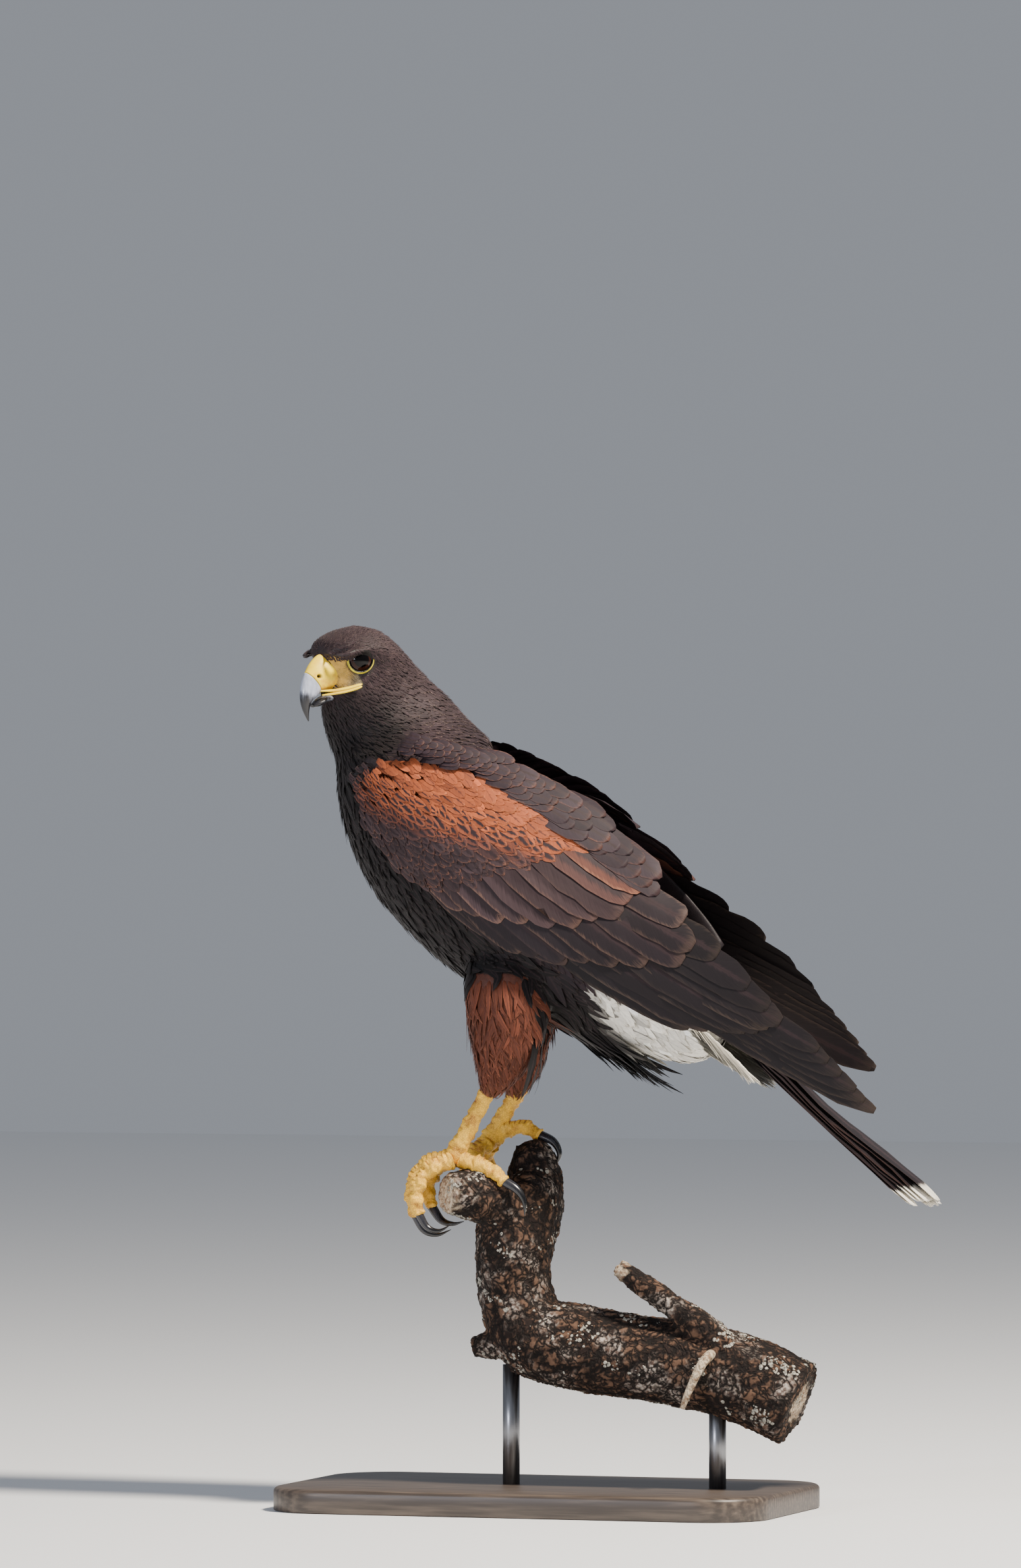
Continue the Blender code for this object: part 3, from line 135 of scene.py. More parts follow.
# The bare patch before the eye: its outline as forward and up.
LORES = ((45, 2.6), (37, 2.4), (32.4, -3), (28, -8.2), (24.6, -12.4), (27, -15.4), (46, -18))

# The lie of the folded wings: tau runs down the body line, rise stands up from it.
LINE_START = (-98, 450)
LINE_DIRECTION = (0.757, -0.654)
FLANK_TAU = (0, 10, 30, 63, 100, 141, 180, 215, 245, 300, 380)
FLANK_WIDTH = (29, 37, 43.5, 49.5, 52, 52, 49.5, 45, 40, 31, 25)
FLANK_RISE = (-13, -12, -10, -14, -14, -13, -11, -6, 4, 24, 38)
FLANK_ROUND = (46, 50, 54, 60, 64, 70, 76, 84, 95, 125, 160)
FLANK_FALL = 0.62
# The arm of the wing under its coverts: tau, lower rise, upper rise, depth outwards.
WING_ARM = (
    (6, -23, -8, 0.9),
    (14, -27, -5, 2.2),
    (22, -32, 2, 4.4),
    (36, -37, 12, 6),
    (62, -36.5, 24, 6.6),
    (92, -34, 36, 6.4),
    (122, -30, 44, 5.8),
    (150, -22, 46, 4.2),
    (180, -10, 45, 3.2),
    (208, 6, 41, 2.6),
    (226, 18, 36, 1.6),
)
# How far the arm reaches inwards, how deep it lies under its coverts, and the height that
# stands for no arm at all.
ARM_INWARD = 5
ARM_UNDER = 1.6
BESIDE_ARM = -9
# Tiers of wing feathers from the bottom layer up, lowest feather first: how many, the lines
# of their roots and tips as tau and rise, first and last width, and how blunt their tips are.
WING_TIERS = {
    "primaries": (6, ((196, 4), (206, 22)),
                  ((371, 36), (357, 38.5), (340, 40.5), (320, 42)), (16, 16), 0.5),
    "secondaries": (10, ((126, -19), (150, 8), (166, 32)),
                    ((258, 3), (272, 13), (284, 23), (291, 31), (296, 39.5), (280, 43.5), (244, 45)),
                    (17, 20), 0.62),
    "primary_coverts": (6, ((58, -34), (104, -22)),
                        ((138, -33), (152, -30), (162, -25), (180, -16)), (13, 15), 0.45),
    "greater_coverts": (9, ((96, -27), (128, 0), (150, 34)),
                        ((154, -27), (172, -17), (192, -3), (212, 12), (238, 34), (216, 46)),
                        (15, 21), 0.66),
    "median_coverts": (10, ((66, -30), (92, 0), (112, 32)),
                       ((112, -31), (138, -18), (165, 2), (186, 22), (186, 43)), (15, 19), 0.66),
}
WORN_COVERT = 3
# Scapulars: length, and how steeply they run, at the place of their tips along tau.
SCAPULAR_TAU = (30, 70, 120, 200)
SCAPULAR_LENGTH = (11, 21, 36, 60)
SCAPULAR_SLOPE = (0.5, 0.36, 0.22, 0.06)
# The chestnut patch of the shoulder: its upper and lower limit in rise along tau.
PATCH_TAU = (20, 37, 73, 110, 150, 185)
PATCH_TOP = (3, 17, 32, 39.5, 44.5, 47)
PATCH_FOOT = (-22, -20, -6, 14, 30, 46)
# The far wing stands a little open: its primaries end shorter, and it rises along tau.
FAR_WING_SHORTER = 27
FAR_WING_TAU = (100, 150, 195, 245)
FAR_WING_RAISE = (0, -3, 2.5, 7.5)

# Tail: root and tip of the middle line, as X and Z.
TAIL_ROOT = (106, 290)
TAIL_TIP = (236.5, 178.5)
TAIL_FEATHERS = 12
TAIL_ROOT_SPREAD = 8
TAIL_TIP_SPREAD = 17
TAIL_DROOP = 8
TAIL_STEP = 7
RECTRIX_WIDTH = 20
UNDERTAIL_CLEAR = 6.4

# Thighs from the belly down: centre, length fore and aft, and half width.
THIGH_LEVELS = {
    "left": (
        ((-12, -20, 334), 44, 15),
        ((-15.5, -27, 312), 54, 20),
        ((-13.5, -30.5, 294), 53, 20.5),
        ((-14, -31, 275), 45, 17.5),
        ((-18, -30, 259), 32, 12.5),
        ((-23, -29.5, 248), 19, 8.6),
        ((-26, -29, 243), 12.5, 6.9),
    ),
    "right": (
        ((-16, 20, 334), 44, 15),
        ((-23, 27, 312), 50, 20),
        ((-25, 29.5, 294), 48, 20),
        ((-25, 29.5, 275), 38, 17),
        ((-23, 28.5, 259), 25, 12),
        ((-26.5, 27.5, 247), 17, 8.4),
        ((-29.5, 27, 240), 13, 6.9),
    ),
}
# Bare shanks from under the thigh to the ankle, and their radii on the way.
SHANKS = {
    "left": ((-25.6, -29, 247), (-47, -28.5, 208)),
    "right": ((-26, 27, 243.5), (-44.5, 27, 214)),
}
SHANK_RADII = (4.7, 4.6, 4.8, 5.6, 4.4)
ANKLE_RADIUS = 6.2
# Toes: bones from the foot's joint out, then the claw's points, and the toe's size.
TOES = {
    "left": {
        "hind": (
            ((-44, -28, 205), (-33, -27.5, 201.5), (-24, -27, 197), (-17, -27, 191.5)),
            ((-10, -27, 187.6), (-5.6, -27, 181), (-4.8, -27.5, 172)), 1.15),
        "inner": (
            ((-48, -24, 205), (-59, -19, 201.5), (-66, -16.5, 193.5), (-68, -16, 184),
             (-65.5, -16.5, 175.5)),
            ((-59.5, -17, 168.5), (-52, -18, 166.5), (-45, -18.5, 168)), 1.1),
        "middle": (
            ((-49, -28.5, 205.5), (-62.5, -29, 203), (-70.8, -29.5, 194), (-73, -30, 182.5),
             (-71, -30, 170.5)),
            ((-65.6, -30, 163), (-57.5, -29.5, 160.6), (-49.5, -29, 163.6)), 1),
        "outer": (
            ((-47.5, -33.5, 204.5), (-58, -39, 200), (-65, -42, 190.5), (-66.5, -42.5, 180.5),
             (-65, -42, 172.5)),
            ((-60, -41.5, 165.5), (-53, -41, 163.4), (-46, -40, 167)), 0.9),
    },
    "right": {
        "hind": (
            ((-42, 27, 215), (-33, 27, 220.5), (-22, 27, 221.6), (-12.6, 26.5, 217)),
            ((-4.4, 26, 213.5), (-0.6, 25.5, 206), (-4.4, 24.6, 197.5)), 1.15),
        "inner": (
            ((-45, 22.5, 211.5), (-49, 15, 207.5), (-51.5, 10, 199), (-50, 7.5, 189.5)),
            ((-44, 7, 182.6), (-37, 7, 180.6), (-31, 7.5, 183)), 1.1),
        "middle": (
            ((-46.5, 27, 212), (-54, 28, 206.5), (-58, 28.5, 197), (-57, 28.5, 186),
             (-52.5, 28.5, 176.5)),
            ((-46, 28, 169.6), (-38.5, 28, 168.6), (-31.5, 28, 172)), 1),
        "outer": (
            ((-45, 32, 211.5), (-49.5, 39, 207), (-51, 44, 198.5), (-48.5, 46, 188.5)),
            ((-43, 46, 181), (-36.5, 45, 179.4), (-30.5, 43.5, 182)), 0.9),
    },
}
TOE_ROOT_RADIUS = 5
TOE_TIP_RADIUS = 3.6
TOE_KNUCKLE = 0.45
CLAW_RADIUS = 2.7

# The branch, as X, Y, Z and radius along each stretch.
PERCH_STRETCHES = (
    (
        ((-8, 8, 192), 14), ((-13, 3, 178), 19.5), ((-19, 0, 160), 24),
        ((-20.5, 0, 138), 22), ((-16.5, 0, 117), 22), ((-7, 0, 101), 24.5),
        ((12, 0, 95), 26), ((36, 0, 92), 25.5), ((64, 0, 88), 25.5),
        ((94, 1, 84), 25.5), ((124, 2, 76), 26.5), ((152, 3, 64), 26),
    ),
    (
        ((-14, 0, 166), 15), ((-26, -14, 178), 16), ((-40, -27, 183.5), 14.5),
        ((-50, -36, 184.5), 11.5),
    ),
    (
        ((-14, 4, 165), 19), ((-13, 15, 184), 18), ((-16, 23, 201), 14.5),
        ((-20, 26.5, 210), 9),
    ),
    (
        ((-12, -2, 104), 13), ((-30, -4, 96), 9.5), ((-44, -6, 94), 6),
    ),
    (
        ((118, -6, 84), 12), ((104, -12, 104), 9), ((84, -13, 118), 8),
        ((64, -12, 130.5), 7), ((47, -11, 142), 4.6),
    ),
)
BARE_TWIG = (
    ((108, -12, 96), 3.4), ((103, -27, 88), 2.8), ((96, -31, 72), 2.2),
    ((92, -31, 62), 1.5),
)

# The stand under the branch.
BASE_LENGTH = 300
BASE_WIDTH = 170
BASE_THICK = 14
BASE_CORNER = 36
ROD_RADIUS = 5
RODS = {"stand_rod_front": (-22, 84), "stand_rod_back": (104, 70)}


def linear(code):
    """An sRGB hex colour as linear red, green, blue and a solid alpha."""
    parts = [int(code[i:i + 2], 16) / 255 for i in (1, 3, 5)]
    return (*(c / 12.92 if c <= 0.04045 else ((c + 0.055) / 1.055) ** 2.4 for c in parts), 1.0)


# Plumage colours: the vane and its edge.
DARK_VANE, DARK_EDGE = map(linear, ("#33272a", "#7b675e"))
# Front of breast and belly: the bird's own dark brown, made near black as painted shade.
SHADED_UNDER_VANE, SHADED_UNDER_EDGE = map(linear, ("#0e0b0c", "#181315"))
MANTLE_VANE, MANTLE_EDGE = map(linear, ("#281e24", "#5c463f"))
RUFOUS_VANE, RUFOUS_EDGE = map(linear, ("#8f4a2c", "#a8623e"))
STREAK_VANE = linear("#2b1f22")
WING_VANE = linear("#382b2d")
# Greater coverts and flight feathers: their own blackish brown, darkened further as painted shade of the
# wing's hind part and far wing.
GREATER_SHADED_VANE, GREATER_EDGE = map(linear, ("#1e171b", "#5b473d"))
FLIGHT_SHADED_VANE, FLIGHT_EDGE = map(linear, ("#161114", "#43372f"))
TAIL_VANE, TAIL_EDGE = map(linear, ("#181114", "#37211a"))
WHITE_VANE, WHITE_EDGE = map(linear, ("#dedad0", "#f4f1e9"))
THIGH_VANE, THIGH_EDGE = map(linear, ("#5c3021", "#8f563c"))
NAPE_EDGE = linear("#a08670")
LOW_THIGH_VANE, LOW_THIGH_EDGE = map(linear, ("#a5714a", "#c79a6c"))
SCAPULAR_EDGE, LESSER_EDGE = map(linear, ("#5f3d30", "#7c5240"))
MEDIAN_EDGE, WORN_EDGE = map(linear, ("#765b4c", "#c8a78a"))
LORE_YELLOW, LORE_GREY, LID_BLACK = map(linear, ("#bd9640", "#85795f", "#15100e"))


def node(tree, kind, sockets=(), **settings):
    """Adds one node with its settings; each socket, by place or by key, gets a value, or a
    link from a socket or from the first socket of another node."""
    if isinstance(kind, tuple):
        kind, own = kind
        settings = {**own, **settings}
    made = tree.nodes.new(kind)
    for name, value in settings.items():
        setattr(made, name, value)
    for key, value in sockets.items() if isinstance(sockets, dict) else enumerate(sockets):
        if isinstance(value, bpy.types.Node):
            value = next(out for out in value.outputs if out.enabled)
        if isinstance(value, bpy.types.NodeSocket):
            tree.links.new(value, made.inputs[key])
        else:
            made.inputs[key].default_value = value
    return made


def mixed(a, b, share):
    """Colours between a and b, row by row."""
    share = np.asarray(share, float)[..., None]
    return np.asarray(a) * (1 - share) + np.asarray(b) * share


def ramp(values, low, high):
    """A smooth step from 0 at low to 1 at high."""
    t = np.clip((np.asarray(values, float) - low) / (high - low), 0, 1)
    return t * t * (3 - 2 * t)


def unit(vectors):
    return vectors / np.maximum(np.linalg.norm(vectors, axis=-1, keepdims=True), 1e-9)


def curve_through(rows, places):
    """Rows of numbers read at fractional places, on a smooth curve through them."""
    rows = np.asarray(rows, float)
    padded = np.vstack([2 * rows[0] - rows[1], rows, 2 * rows[-1] - rows[-2]])
    places = np.clip(np.asarray(places, float), 0, len(rows) - 1)
    first = np.minimum(places.astype(int), len(rows) - 2)
    t = (places - first)[..., None]
    a, b, c, d = (padded[first + k] for k in range(4))
    return 0.5 * (2 * b + (c - a) * t + (2 * a - 5 * b + 4 * c - d) * t**2 + (3 * b - a - 3 * c + d) * t**3)


def evenly(rows, count):
    """Rows of numbers read at evenly spread places on the smooth curve through them."""
    return curve_through(rows, np.linspace(0, len(rows) - 1, count))


def once_round(count):
    """Angles once round, evenly spread."""
    return np.linspace(0, math.tau, count, endpoint=False)


def quick_tree(spots):
    """A quick way to the nearest of some spots."""
    tree = KDTree(len(spots))
    for i, spot in enumerate(spots):
        tree.insert(spot, i)
    tree.balance()
    return tree


BODY_ROWS = np.array(
    [[f[0], f[1] + EYE_Z, b[0], b[1] + EYE_Z, w, pinch, share * HEAD_TURN]
     for f, b, w, pinch, share in HEAD_LEVELS]
    + [[NECK_X - f[0], f[1], NECK_X - b[0], b[1], w, 0.0, 0.0] for f, b, w in TORSO_LEVELS])
LAST_LEVEL = len(BODY_ROWS) - 1


def body_at(level, angle, sunk):
    """Points of the body's outer shape, by level from the crown and angle from the front,
    sunk inwards by a depth."""
    rows = curve_through(BODY_ROWS, level)
    front, back = rows[..., 0:2], rows[..., 2:4]
    along = unit(front - back)
    sunk = np.minimum(sunk, rows[..., 4] * 0.4)
    front, back = front - along * sunk[..., None], back + along * sunk[..., None]
    half = np.maximum(rows[..., 4] - sunk, 0.6)
    share = (1 + np.cos(angle)) / 2
    spot = back + (front - back) * share[..., None]
    side = half * np.sin(angle) * (1 - rows[..., 5] * share**1.5)
    turn = np.radians(rows[..., 6])
    return np.stack([NECK_X - spot[..., 0] * np.cos(turn) + side * np.sin(turn),
                     -spot[..., 0] * np.sin(turn) - side * np.cos(turn), spot[..., 1]], axis=-1)


def head_point(forward, side, up):
    """A point of the turned head, side positive to the bird's left."""
    turn = math.radians(HEAD_TURN)
    return Vector((NECK_X - forward * math.cos(turn) + side * math.sin(turn),
                   -forward * math.sin(turn) - side * math.cos(turn), EYE_Z + up))


HEAD_ORIGIN = np.array(head_point(0, 0, 0))
HEAD_AXES = np.array([np.array(head_point(*axis)) - HEAD_ORIGIN for axis in np.eye(3)])


def to_head(points):
    """Points as forward, side and up of the head."""
    return (points - HEAD_ORIGIN) @ HEAD_AXES.T


def to_wing(points):
    """Points as tau and rise of the flank."""
    x, z = points[..., 0] - LINE_START[0], points[..., 2] - LINE_START[1]
    return (x * LINE_DIRECTION[0] + z * LINE_DIRECTION[1], -x * LINE_DIRECTION[1] + z * LINE_DIRECTION[0])


def flank_at(tau, rise, height, side):
    """Points over the folded wing's lie, out from the flank by a height."""
    def surface(t, r):
        width = np.interp(t, FLANK_TAU, FLANK_WIDTH)
        middle = np.interp(t, FLANK_TAU, FLANK_RISE)
        rounding = np.interp(t, FLANK_TAU, FLANK_ROUND)
        out = width * (1 - FLANK_FALL * ((r - middle) / rounding) ** 2)
        return np.stack([LINE_START[0] + t * LINE_DIRECTION[0] - r * LINE_DIRECTION[1], -out,
                         LINE_START[1] + t * LINE_DIRECTION[1] + r * LINE_DIRECTION[0]], axis=-1)
    along = surface(tau + 6.0, rise) - surface(tau - 6.0, rise)
    across = surface(tau, rise + 2.0) - surface(tau, rise - 2.0)
    normal = unit(np.cross(across, along))
    normal = normal * np.where(normal[..., 1:2] > 0, -1.0, 1.0)
    points = surface(tau, rise) + normal * np.asarray(height)[..., None]
    return points * np.array([1.0, side, 1.0])


def tail_at(along, across, height):
    """Points of the tail: along its middle line, across it and up from it."""
    root, tip = np.array(TAIL_ROOT), np.array(TAIL_TIP)
    ahead = (tip - root) / np.linalg.norm(tip - root)
    up = np.array([-ahead[1], ahead[0]])
    drop = height - (np.abs(across) / 30.0) ** 2 * TAIL_DROOP
    spot = root + along[..., None] * ahead + drop[..., None] * up
    return np.stack([spot[..., 0], across, spot[..., 1]], axis=-1)


def undertail_depth(along, across):
    """How far the undertail coverts' round underside hangs below the tail's middle line."""
    deep = np.interp(along, (-6.0, 23.0, 52.0), (24.0, 18.5, 11.0))
    wide = np.interp(along, (-6.0, 52.0), (21.0, 22.5))
    return np.maximum(deep * np.sqrt(np.maximum(1 - (across / wide) ** 2, 0.0)), UNDERTAIL_CLEAR)


def arm_limits(tau):
    """The arm's lower rise, upper rise and depth outwards at tau."""
    rows = np.array(WING_ARM)
    return [np.interp(tau, rows[:, 0], rows[:, k]) for k in (1, 2, 3)]


def arm_height(tau, rise):
    """How far out the arm's surface stands, or well below the flank beside it."""
    low, high, deep = arm_limits(tau)
    share = (rise - (low + high) / 2) / ((high - low) / 2)
    inside = (np.abs(share) < 1) & (tau > WING_ARM[0][0]) & (tau < WING_ARM[-1][0])
    return np.where(inside, deep * np.sqrt(np.maximum(1 - share**2, 0.0)), BESIDE_ARM)


def mesh_piece(name, points, faces, material, maps=None, numbers=None, colours=None):
    """A smooth mesh object from points in millimetres and four-sided faces, with its maps
    and attributes given point by point."""
    points, faces = np.asarray(points, float), np.asarray(faces, int)
    mesh = bpy.data.meshes.new(name)
    mesh.vertices.add(len(points))
    mesh.vertices.foreach_set("co", (points * MM).ravel())
    mesh.loops.add(faces.size)
    mesh.loops.foreach_set("vertex_index", faces.ravel())
    mesh.polygons.add(len(faces))
    mesh.polygons.foreach_set("loop_start", np.arange(len(faces)) * 4)
    mesh.polygons.foreach_set("loop_total", np.full(len(faces), 4))
    mesh.polygons.foreach_set("use_smooth", np.full(len(faces), True))
    for key, values in (maps or {}).items():
        mesh.uv_layers.new(name=key).data.foreach_set("uv", np.asarray(values)[faces.ravel()].ravel())
    mark(mesh, numbers, colours)
    mesh.update(calc_edges=True)
    made = bpy.data.objects.new(name, mesh)
    bpy.context.scene.collection.objects.link(made)
    mesh.materials.append(material)
    return made


def mark(mesh, numbers=None, colours=None):
    """Adds attributes of numbers and of colours to the points of a mesh."""
    for key, values in (numbers or {}).items():
        mesh.attributes.new(key, "FLOAT", "POINT").data.foreach_set("value", np.asarray(values, float))
    for key, values in (colours or {}).items():
        mesh.attributes.new(key, "FLOAT_COLOR", "POINT").data.foreach_set("color", np.ravel(values))


def loft(rings):
    """Points and faces through rings of equally many points, each end drawn in to a point."""
    rings = [np.asarray(ring, float) for ring in rings]
    for share in (0.55, 0.005):
        rings = [rings[0].mean(0) + (rings[0] - rings[0].mean(0)) * share, *rings,
                 rings[-1].mean(0) + (rings[-1] - rings[-1].mean(0)) * share]
    rings = np.array(rings)
    levels, count = rings.shape[:2]
    low = np.arange(levels - 1)[:, None] * count
    i, j = np.arange(count), (np.arange(count) + 1) % count
    faces = np.stack([low + i, low + j, low + count + j, low + count + i], axis=-1).reshape(-1, 4)
    return rings.reshape(-1, 3), faces


def tube(path, radii, count, squash=1.0):
    """Round rings square to a path, without twist; squash narrows them one way."""
    path = [Vector(p) for p in path]
    ahead = [(path[min(i + 1, len(path) - 1)] - path[max(i - 1, 0)]).normalized() for i in range(len(path))]
    side = ahead[0].orthogonal().normalized()
    rings = []
    for point, way, radius in zip(path, ahead, radii):
        side = (side - way * side.dot(way)).normalized()
        up = way.cross(side)
        angles = [math.tau * i / count for i in range(count)]
        rings.append([tuple(point + side * (radius * math.cos(a)) + up * (radius * squash * math.sin(a)))
                      for a in angles])
    return rings


def outwards(thing):
    """Turns the faces of a closed mesh outwards and closes its doubled points."""
    shape = bmesh.new()
    shape.from_mesh(thing.data)
    bmesh.ops.remove_doubles(shape, verts=shape.verts, dist=1e-6)
    bmesh.ops.recalc_face_normals(shape, faces=shape.faces)
    shape.to_mesh(thing.data)
    shape.free()
    return thing


def stacked(lofts):
    """The points and the faces of several lofts, as those of one."""
    starts = np.cumsum([0] + [len(points) for points, _ in lofts[:-1]])
    return (np.vstack([points for points, _ in lofts]),
            np.vstack([faces + start for (_, faces), start in zip(lofts, starts)]))


def lofted(name, lofts, material, **marks):
    """One closed mesh object from several lofts."""
    return outwards(mesh_piece(name, *stacked(lofts), material, **marks))


def baked(thing):
    """Applies every modifier of an object by taking its evaluated mesh."""
    bpy.context.view_layer.update()
    mesh = bpy.data.meshes.new_from_object(thing.evaluated_get(bpy.context.evaluated_depsgraph_get()))
    thing.modifiers.clear()
    thing.data = mesh
    return thing


def melted(thing, voxel, rounds):
    """Melts overlapping closed forms into one skin with even faces, and smooths it."""
    remesh = thing.modifiers.new("melt", "REMESH")
    remesh.mode = "VOXEL"
    remesh.voxel_size = voxel * MM
    remesh.use_smooth_shade = True
    smooth = thing.modifiers.new("smooth", "SMOOTH")
    smooth.factor = 0.5
    smooth.iterations = rounds
    return baked(thing)


def smoothly_shaded(thing):
    for polygon in thing.data.polygons:
        polygon.use_smooth = True
    return thing


def points_of(thing, normals=False):
    """The points of a mesh in millimetres, or their normals."""
    mesh = thing.data
    values = np.empty(len(mesh.vertices) * 3)
    if normals:
        mesh.vertex_normals.foreach_get("vector", values)
        return values.reshape(-1, 3)
    mesh.vertices.foreach_get("co", values)
    return values.reshape(-1, 3) / MM


def move_points(thing, points):
    thing.data.vertices.foreach_set("co", (points * MM).ravel())
    thing.data.update()


# Random spots tried for each feather that there is room for.
TRIES_PER_FEATHER = 7


class Ground:
    """A skin that feathers are rooted in, with a quick way to its nearest spot."""

    def __init__(self, thing):
        self.spots = points_of(thing)
        self.normals = points_of(thing, normals=True)
        self.tree = quick_tree(self.spots)
        mesh = thing.data
        mesh.calc_loop_triangles()
        corners = np.empty(len(mesh.loop_triangles) * 3, int)
        mesh.loop_triangles.foreach_get("vertices", corners)
        self.triangles = corners.reshape(-1, 3)

    def nearest(self, points, normals, reach=7):
        """The nearest spots and their normals, or the points themselves past its end."""
        found = [self.tree.find(p) for p in points]
        index = np.array([f[1] for f in found])
        away = np.array([f[2] for f in found])
        near = self.normals[index]
        foot = points - near * ((points - self.spots[index]) * near).sum(-1, keepdims=True)
        lost = (away > reach)[:, None]
        return np.where(lost, points, foot), np.where(lost, normals, near)

    def scatter(self, spacing_at):
        """Spots spread evenly over the skin, each clear of the next by its spacing, which
        is nought where nothing grows."""
        corners = self.spots[self.triangles]
        spacing = spacing_at(corners.mean(1))
        first, second = corners[:, 1] - corners[:, 0], corners[:, 2] - corners[:, 0]
        area = np.linalg.norm(np.cross(first, second), axis=1) / 2
        weight = np.where(spacing > 0, area / np.maximum(spacing, 0.1) ** 2, 0)
        tries = int(weight.sum() * TRIES_PER_FEATHER)
        pick = chance.choice(len(weight), tries, p=weight / weight.sum())
        a, b = chance.random((2, tries, 1))
        flip = a + b > 1
        a, b = np.where(flip, 1 - a, a), np.where(flip, 1 - b, b)
        corners = corners[pick]
        spots = corners[:, 0] + (corners[:, 1] - corners[:, 0]) * a + (corners[:, 2] - corners[:, 0]) * b
        apart = spacing[pick]
        tree = quick_tree(spots)
        free = np.ones(tries, bool)
        kept = []
        for i in range(tries):
            if free[i]:
                kept.append(i)
                for _, j, _ in tree.find_range(spots[i], apart[i]):
                    free[j] = False
        return spots[kept]


# The outline of a vane: half width at shares of its length.
OUTLINE_AT = (0, 0.12, 0.3, 0.55, 0.78, 0.9, 0.97, 1)
BODY_OUTLINE = (0.25, 0.6, 0.9, 1, 0.86, 0.6, 0.34, 0.12)
POINTED_OUTLINE = (0.3, 0.7, 0.98, 0.95, 0.66, 0.4, 0.2, 0.06)
BLUNT_OUTLINE = (0.2, 0.6, 0.9, 1, 0.96, 0.78, 0.5, 0.2)
FLIGHT_OUTLINE = (0.2, 0.6, 0.92, 1, 0.97, 0.84, 0.6, 0.3)
# Points across a vane, from the left edge over the top to the underside.
ACROSS = {4: ((-1, 0, 1, 0), (0, 1, 0, -1)),
          6: ((-1, -0.5, 0, 0.5, 1, 0), (0, 0.8, 1, 0.8, 0, -1))}
# How much the width of a vane wavers from station to station.
WAVER = 0.05
# The coat's vanes in millimetres: how thick they are, how arched for their half width, how
# deep they are rooted, and how late they rise.
COAT_THICK, COAT_CAMBER, COAT_SINK, COAT_CURL = 0.07, 0.12, 0.35, 1.1
LAID_CAMBER = 0.03
# The size of a coat feather on the map of roots.
COAT_PATCH = 0.003
# A bed's height before anything lies on it, the stations and strips that a vane is laid
# with, and the shares of its run that are free of the bed, sunk to the root and not counted.
BED_HEIGHT = 0.4
BED_STATIONS, BED_STRIPS = 6, 13
RUN_FREE, RUN_SUNK, RUN_UNCOUNTED = 0.22, 0.3, 0.12


def vanes(centres, normals, ahead, half, thick, camber, shares, roots, patch, marks, lifts=None, around=4):
    """Closed vanes as one mesh: stations of many feathers, each with a centre, a normal and
    a direction. Gives points, faces, maps, numbers and colours.

    half is the half width at each station and patch the size of a vane on the map of roots.
    marks with one number to a feather are numbers and others colours. lifts are further
    heights of left edge, shaft and right edge."""
    count, stations = centres.shape[:2]
    right = unit(np.cross(ahead, normals))
    cross, rise = (np.array(row) for row in ACROSS[around])
    half = half * (1 + chance.normal(0, WAVER, half.shape))
    out = right[:, :, None] * (half[..., None] * cross)[..., None]
    up = rise * (thick / 2) - (camber * half)[..., None] * cross**2
    if lifts is not None:
        left, right_side = np.maximum(-cross, 0), np.maximum(cross, 0)
        shaft = 1 - np.abs(cross)
        up = up + lifts[..., 0:1] * left + lifts[..., 1:2] * shaft + lifts[..., 2:3] * right_side
    points = centres[:, :, None] + out + normals[:, :, None] * up[..., None]
    base = (np.arange(count) * stations * around)[:, None, None]
    k = (np.arange(stations - 1) * around)[None, :, None]
    i = np.arange(around)[None, None, :]
    j = (i + 1) % around
    low = base + k
    sides = np.stack([low + i, low + j, low + around + j, low + around + i], -1)
    caps = ((0, 1, 2, 3),) if around == 4 else ((0, 1, 2, 5), (2, 3, 4, 5))
    end = (stations - 1) * around
    ends = [base[:, 0] + np.array(cap[::-1]) for cap in caps]
    ends += [base[:, 0] + np.array(cap) + end for cap in caps]
    faces = np.concatenate([sides.reshape(-1, 4), *ends])
    u = np.broadcast_to((cross + 1) / 2, (count, stations, around))
    v = np.broadcast_to(np.asarray(shares)[None, :, None], (count, stations, around))
    feather = np.stack([u, v], -1)
    bake = roots[:, None, None] + feather * patch
    each = stations * around
    numbers = {key: np.repeat(value, each) for key, value in marks.items() if np.ndim(value) == 1}
    colours = {key: np.repeat(value, each, axis=0) for key, value in marks.items() if np.ndim(value) == 2}
    maps = {"Feather": feather.reshape(-1, 2), "OFBake": bake.reshape(-1, 2)}
    return points.reshape(-1, 3), faces, maps, numbers, colours


def vane_piece(name, batches, material, around=4):
    """One object from several batches of vanes, with a crisp edge between the two faces of
    each, so that a vane looks flat and not padded."""
    merged = [{key: np.concatenate([batch[k][key] for batch in batches]) for key in batches[0][k]}
              for k in (2, 3, 4)]
    piece = mesh_piece(name, *stacked([batch[:2] for batch in batches]), material, *merged)
    edges = np.empty(len(piece.data.edges) * 2, int)
    piece.data.edges.foreach_get("vertices", edges)
    place = edges.reshape(-1, 2) % around
    rim = (place[:, 0] == place[:, 1]) & np.isin(place[:, 0], (0, around - 2))
    piece.data.attributes.new("sharp_edge", "BOOLEAN", "EDGE").data.foreach_set("value", rim)
    return piece


